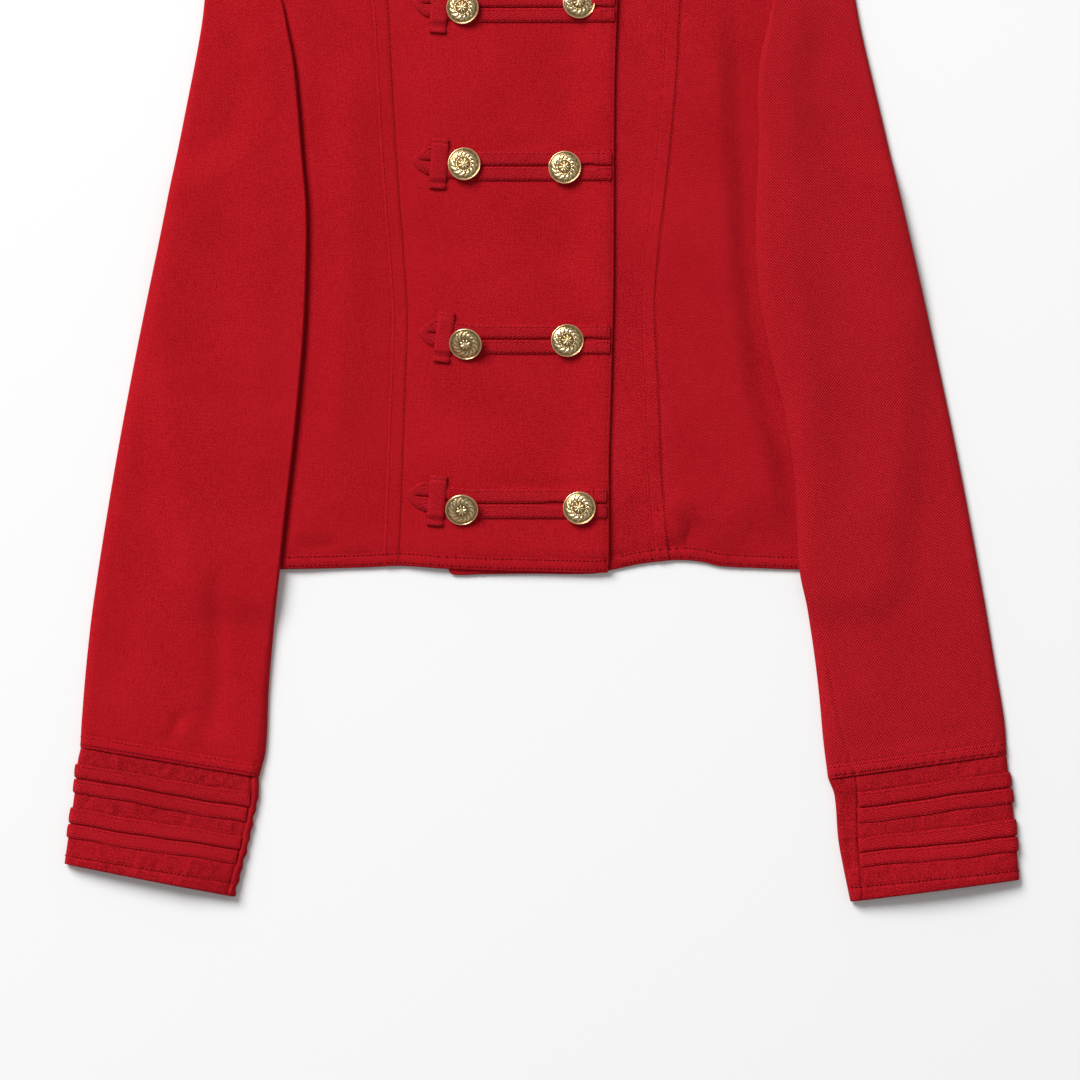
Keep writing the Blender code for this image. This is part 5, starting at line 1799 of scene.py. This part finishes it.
# %% [markdown]
# A sleeve ends in a lap that is stitched twice above its cuff, a cuff has one row along its hem,
# and a tape is sewn down along both its edges. The rows ask the same functions for their height
# that shaped the cloth, so they can't sink into it or hang above it.

# %% The rows of the sleeves, cuffs and tapes
for tube in (RIGHT_SLEEVE, LEFT_SLEEVE):
    for rise in LAP_ROWS:
        row = np.full(60, 1.0 - rise / tube["length"])
        width = float(tube_width(tube, row[:1])[0])
        add_row("lap", tube_top(tube, row, np.linspace(width - 1.5, 1.5, 60)))
for tube in (RIGHT_CUFF, LEFT_CUFF):
    width = float(tube_width(tube, np.array([0.9]))[0])
    distance = np.linspace(width - 1.5, 1.5, 160)
    row = CUFF_HEM[0] + (CUFF_HEM[1] - CUFF_HEM[0]) * distance / width
    add_row("hem", tube_top(tube, row, distance, 0.3))
    for tape in CUFF_TAPES:
        seam = float(tube["seam"](np.array([tape[1]]))[0])
        distance = np.linspace(width - seam - 1.0, 1.2, 60)
        for across in ROW_SHARES:
            points = tape_points(tube, tape, np.full(60, across), distance, TAPE_CLEAR + TRIM)
            add_row("trim", points)
print("rows with the sleeves:", {kind: len(rows) for kind, rows in STITCH_ROWS.items()})

# %% [markdown]
# Each leg of a strap is a ribbon that is sewn on along both its edges and twice across its end, and
# the outer rows meet at the point.

# %% The rows of the straps
for row in CLOSURES:
    tip, end = row[2], strap_end(row)
    xs = np.linspace(end - 1.0, tip + POINT_LENGTH, 60)
    tip_x = np.linspace(tip + POINT_LENGTH, tip + 2.6, 12)
    for side in (-1.0, 1.0):
        reach = ROW_SHARES[1] * (tip_x - tip - 2.0) / (POINT_LENGTH - 2.0)
        lines = [(reach, tip_x, 0.7)] + [(across, xs, 0.25) for across in ROW_SHARES]
        for inset in (1.5, 8.0):
            lines.append((np.linspace(0.12, 0.92, 6), np.full(6, end - inset), 0.45))
        for across, x, lift in lines:
            add_row("trim", on_front(*strap_line(row, across, x, side), -1, TRIM + lift))
print("rows of stitches:", {kind: len(rows) for kind, rows in STITCH_ROWS.items()})

# %% [markdown]
# Stitches repeat along a line, which is what Geometry Nodes are best at. The tree walks each curve
# in steps of one stitch and sets a small rounded thread on every step, turned along the curve and
# varied a little in size and direction, and between two threads a small dark disc of painted shade
# where the needle hole is. Realize Instances turns them all into plain mesh.

# %% Threads and holes
STITCH_SIZES = (
    ("Stitch pitch", 0.0026), ("Thread length", 0.0019), ("Thread thickness", 0.00062),
    ("Hole size", 0.0008),
)
HOLE_DEPTH = 0.0004
HOLE_SINK = 0.00006


def at_random(tree, seed, low, high):
    """Three random numbers for every stitch."""
    fill = [(0, low), (1, high), ("Seed", seed)]
    return node(tree, "FunctionNodeRandomValue", fill, data_type="FLOAT_VECTOR").outputs[0]


def ball(tree, segments, size):
    """A small ball, stretched to a size in three directions."""
    fill = [("Segments", segments), ("Rings", 3), ("Radius", 0.5)]
    whole = node(tree, "GeometryNodeMeshUVSphere", fill).outputs[0]
    scale = node(tree, "ShaderNodeCombineXYZ", list(enumerate(size))).outputs[0]
    return node(tree, "GeometryNodeTransform", [("Geometry", whole), ("Scale", scale)]).outputs[0]


def on_steps(tree, points, shape, look, **turn_and_size):
    """One copy of a shape on every point, made real, with its material."""
    fill = [("Points", points), ("Instance", shape)] + list(turn_and_size.items())
    copies = node(tree, "GeometryNodeInstanceOnPoints", fill).outputs[0]
    real = node(tree, "GeometryNodeRealizeInstances", [(0, copies)]).outputs[0]
    fill = [("Geometry", real), ("Material", look)]
    return node(tree, "GeometryNodeSetMaterial", fill).outputs[0]


print("a stitch is %.1f mm long" % (STITCH_SIZES[0][1] / MM))

# %% [markdown]
# A real seam isn't dead regular, so every thread gets three small random numbers for its turn and
# three for its size. The seed is an input of the tree and stays fixed, so the same stitches come
# out each time. Modelling one stitch and copying it with an Array modifier would be simpler, but
# the copies would all be alike.

# %% The stitch tree
def stitch_tree():
    """Threads on the steps of a curve, and dark discs of painted shade at the needle holes between
    them.
    """
    inputs = [("Geometry", "NodeSocketGeometry", None)]
    inputs += [(label, "NodeSocketFloat", value) for label, value in STITCH_SIZES]
    inputs += [("Seed", "NodeSocketInt", 11)]
    inputs += [(label, "NodeSocketMaterial", None) for label in ("Thread", "Hole")]
    outputs = [("Geometry", "NodeSocketGeometry")]
    tree = new_group("stitches_along_a_row", "GeometryNodeTree", inputs, outputs)
    into = tree.nodes.new("NodeGroupInput").outputs
    fill = [("Curve", into["Geometry"]), ("Length", into["Stitch pitch"])]
    steps = node(tree, "GeometryNodeResampleCurve", fill, mode="LENGTH").outputs[0]
    tangent = tree.nodes.new("GeometryNodeInputTangent").outputs[0]
    fill = [("Vector", tangent)]
    turn = node(tree, "FunctionNodeAlignRotationToVector", fill, axis="X").outputs[0]
    jitter = at_random(tree, into["Seed"], (-0.05, -0.05, -0.30), (0.05, 0.05, 0.30))
    turned = node(tree, "FunctionNodeRotateRotation", [(0, turn)], rotation_space="LOCAL")
    tree.links.new(jitter, turned.inputs[1])
    thick, size = into["Thread thickness"], into["Hole size"]
    vary = at_random(tree, into["Seed"], (0.86, 0.85, 0.85), (1.08, 1.15, 1.15))
    thread = ball(tree, 6, (into["Thread length"], thick, thick))
    threads = on_steps(tree, steps, thread, into["Thread"], Rotation=turned.outputs[0], Scale=vary)
    half = node(tree, "ShaderNodeVectorMath", [(0, tangent)], operation="SCALE")
    tree.links.new(times(tree, into["Stitch pitch"], 0.5), half.inputs["Scale"])
    fill = [(0, half.outputs[0]), (1, (0.0, 0.0, -HOLE_SINK))]
    lower = node(tree, "ShaderNodeVectorMath", fill, operation="ADD").outputs[0]
    fill = [("Geometry", steps), ("Offset", lower)]
    between = node(tree, "GeometryNodeSetPosition", fill).outputs[0]
    # a flat dark disc of painted shade, sunk a little, at each needle hole
    hole = ball(tree, 5, (size, size, HOLE_DEPTH))
    holes = on_steps(tree, between, hole, into["Hole"], Rotation=turn)
    joined = tree.nodes.new("GeometryNodeJoinGeometry")
    for part in (threads, holes):
        tree.links.new(part, joined.inputs[0])
    node(tree, "NodeGroupOutput", [(0, joined.outputs[0])])
    return tree


STITCHES = stitch_tree()
print("the stitch tree has", len(STITCHES.nodes), "nodes")

# %% [markdown]
# A modifier with the tree is put on a curve of the rows, and its result is taken as a plain mesh.
# Four kinds of seams differ in how wide the thread pulls the needle holes open, so each kind is
# one piece with its own hole size and its own fixed seed. The thread is fuzzy cotton, matt and a
# little lighter and darker from place to place; a hole is only a dark disc of painted shade.

# %% Sewing the rows
def thread_look(name, colour, roughness):
    """Matt thread, a little lighter and darker from place to place."""
    look, tree, shader = new_look(name, Roughness=roughness, Specular_IOR_Level=0.1)
    place = tree.nodes.new("ShaderNodeTexCoord").outputs["Object"]
    dark, light = [v * 0.72 for v in colour], [v * 1.2 for v in colour]
    tint = two_colours(tree, noise(tree, place, 2400.0, 2.0), dark, light)
    tree.links.new(tint, shader.inputs["Base Color"])
    return look


def sew(name, rows, **values):
    """Runs the stitch tree on a kind's rows and keeps its result as one mesh."""
    curve = bpy.data.curves.new(name, "CURVE")
    curve.dimensions = "3D"
    for points in rows:
        spline = curve.splines.new("POLY")
        spline.points.add(len(points) - 1)
        world = np.concatenate([(points + SHIFT) * MM, np.ones((len(points), 1))], axis=1)
        spline.points.foreach_set("co", world.ravel())
    path = new_object(name + "_path", curve)
    stitches = path.modifiers.new("stitches", "NODES")
    stitches.node_group = STITCHES
    for item in STITCHES.interface.items_tree:
        if item.in_out == "INPUT" and item.name in values:
            stitches[item.identifier] = values[item.name]
    bpy.context.view_layer.update()
    graph = bpy.context.evaluated_depsgraph_get()
    mesh = bpy.data.meshes.new_from_object(path.evaluated_get(graph), depsgraph=graph)
    path.modifiers.remove(stitches)
    bpy.data.objects.remove(path)
    mesh.name = name
    mesh.shade_smooth()
    piece = new_object(name, mesh)
    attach(piece, "root")
    print(f"{name}: {len(rows)} rows, {sum(len(f.vertices) - 2 for f in mesh.polygons)} triangles")


thread = thread_look("red_thread", (0.400, 0.006, 0.013), 0.7)
# painted shade: a dark disc stands for the shade inside each needle hole
painted_hole_shade = thread_look("painted_hole_shade", (0.095, 0.001, 0.003), 0.95)
for kind, hole, seed in (
    ("seam", 0.00055, 11), ("hem", 0.00135, 29), ("lap", 0.0009, 37), ("trim", 0.0007, 47),
):
    sizes = {"Hole size": hole, "Seed": seed, "Thread": thread, "Hole": painted_hole_shade}
    sew(kind + "_stitches", STITCH_ROWS[kind], **sizes)

# %% [markdown]
# The photo is a studio picture on a pale table: a large soft lamp above and to the left, white
# all round. The shadows are short and fall to the lower right. One wide disk lamp and a white world
# give the same light with no reflectors to place. The camera looks straight down through a long
# lens, so nothing leans.

# %% Table, light and camera
TABLE_HALF = 6.0
LAMP_PLACE = (-4.6, 5.6, 6.0)
LAMP_AIM = Vector((0.0, -0.1, 0.0))
LAMP_SIZE = 5.4
LAMP_POWER = 1053.0
SKY = 0.335
PICTURE_CENTRE = (-0.0012, -0.1235)
PICTURE_WIDTH = 0.6615
LENS = 135.0
SENSOR = 36.0

floor_shape = bmesh.new()
bmesh.ops.create_grid(floor_shape, x_segments=1, y_segments=1, size=TABLE_HALF)
floor_mesh = bpy.data.meshes.new("table")
floor_shape.to_mesh(floor_mesh)
floor_shape.free()
pale_table, _, shader = new_look("pale_table", Roughness=0.9, Specular_IOR_Level=0.1)
shader.inputs["Base Color"].default_value = (0.917, 0.919, 0.918, 1.0)
floor_mesh.materials.append(pale_table)
floor = new_object("table", floor_mesh)

lamp = bpy.data.lights.new("key_lamp", "AREA")
lamp.shape = "DISK"
lamp.size = LAMP_SIZE
lamp.energy = LAMP_POWER
key = new_object("key_lamp", lamp)
key.location = LAMP_PLACE
key.rotation_euler = (LAMP_AIM - Vector(LAMP_PLACE)).to_track_quat("-Z", "Y").to_euler()
world = bpy.data.worlds.new("studio")
world.use_nodes = True
sky = world.node_tree.nodes["Background"].inputs
sky["Color"].default_value = (1.0, 1.0, 1.0, 1.0)
sky["Strength"].default_value = SKY
bpy.context.scene.world = world
bpy.context.scene.view_settings.view_transform = "Standard"

camera_data = bpy.data.cameras.new("camera")
camera_data.lens = LENS
camera_data.sensor_width = SENSOR
camera = new_object("camera", camera_data)
camera.location = (*PICTURE_CENTRE, PICTURE_WIDTH * LENS / SENSOR)
bpy.context.scene.camera = camera
print("the camera hangs %.2f m above the table" % camera.location.z)

# %% [markdown]
# Last, the area of all the cut cloth is printed.

# %% Sizes
print("cut cloth in all: %.3f m2" % sum(CUT))
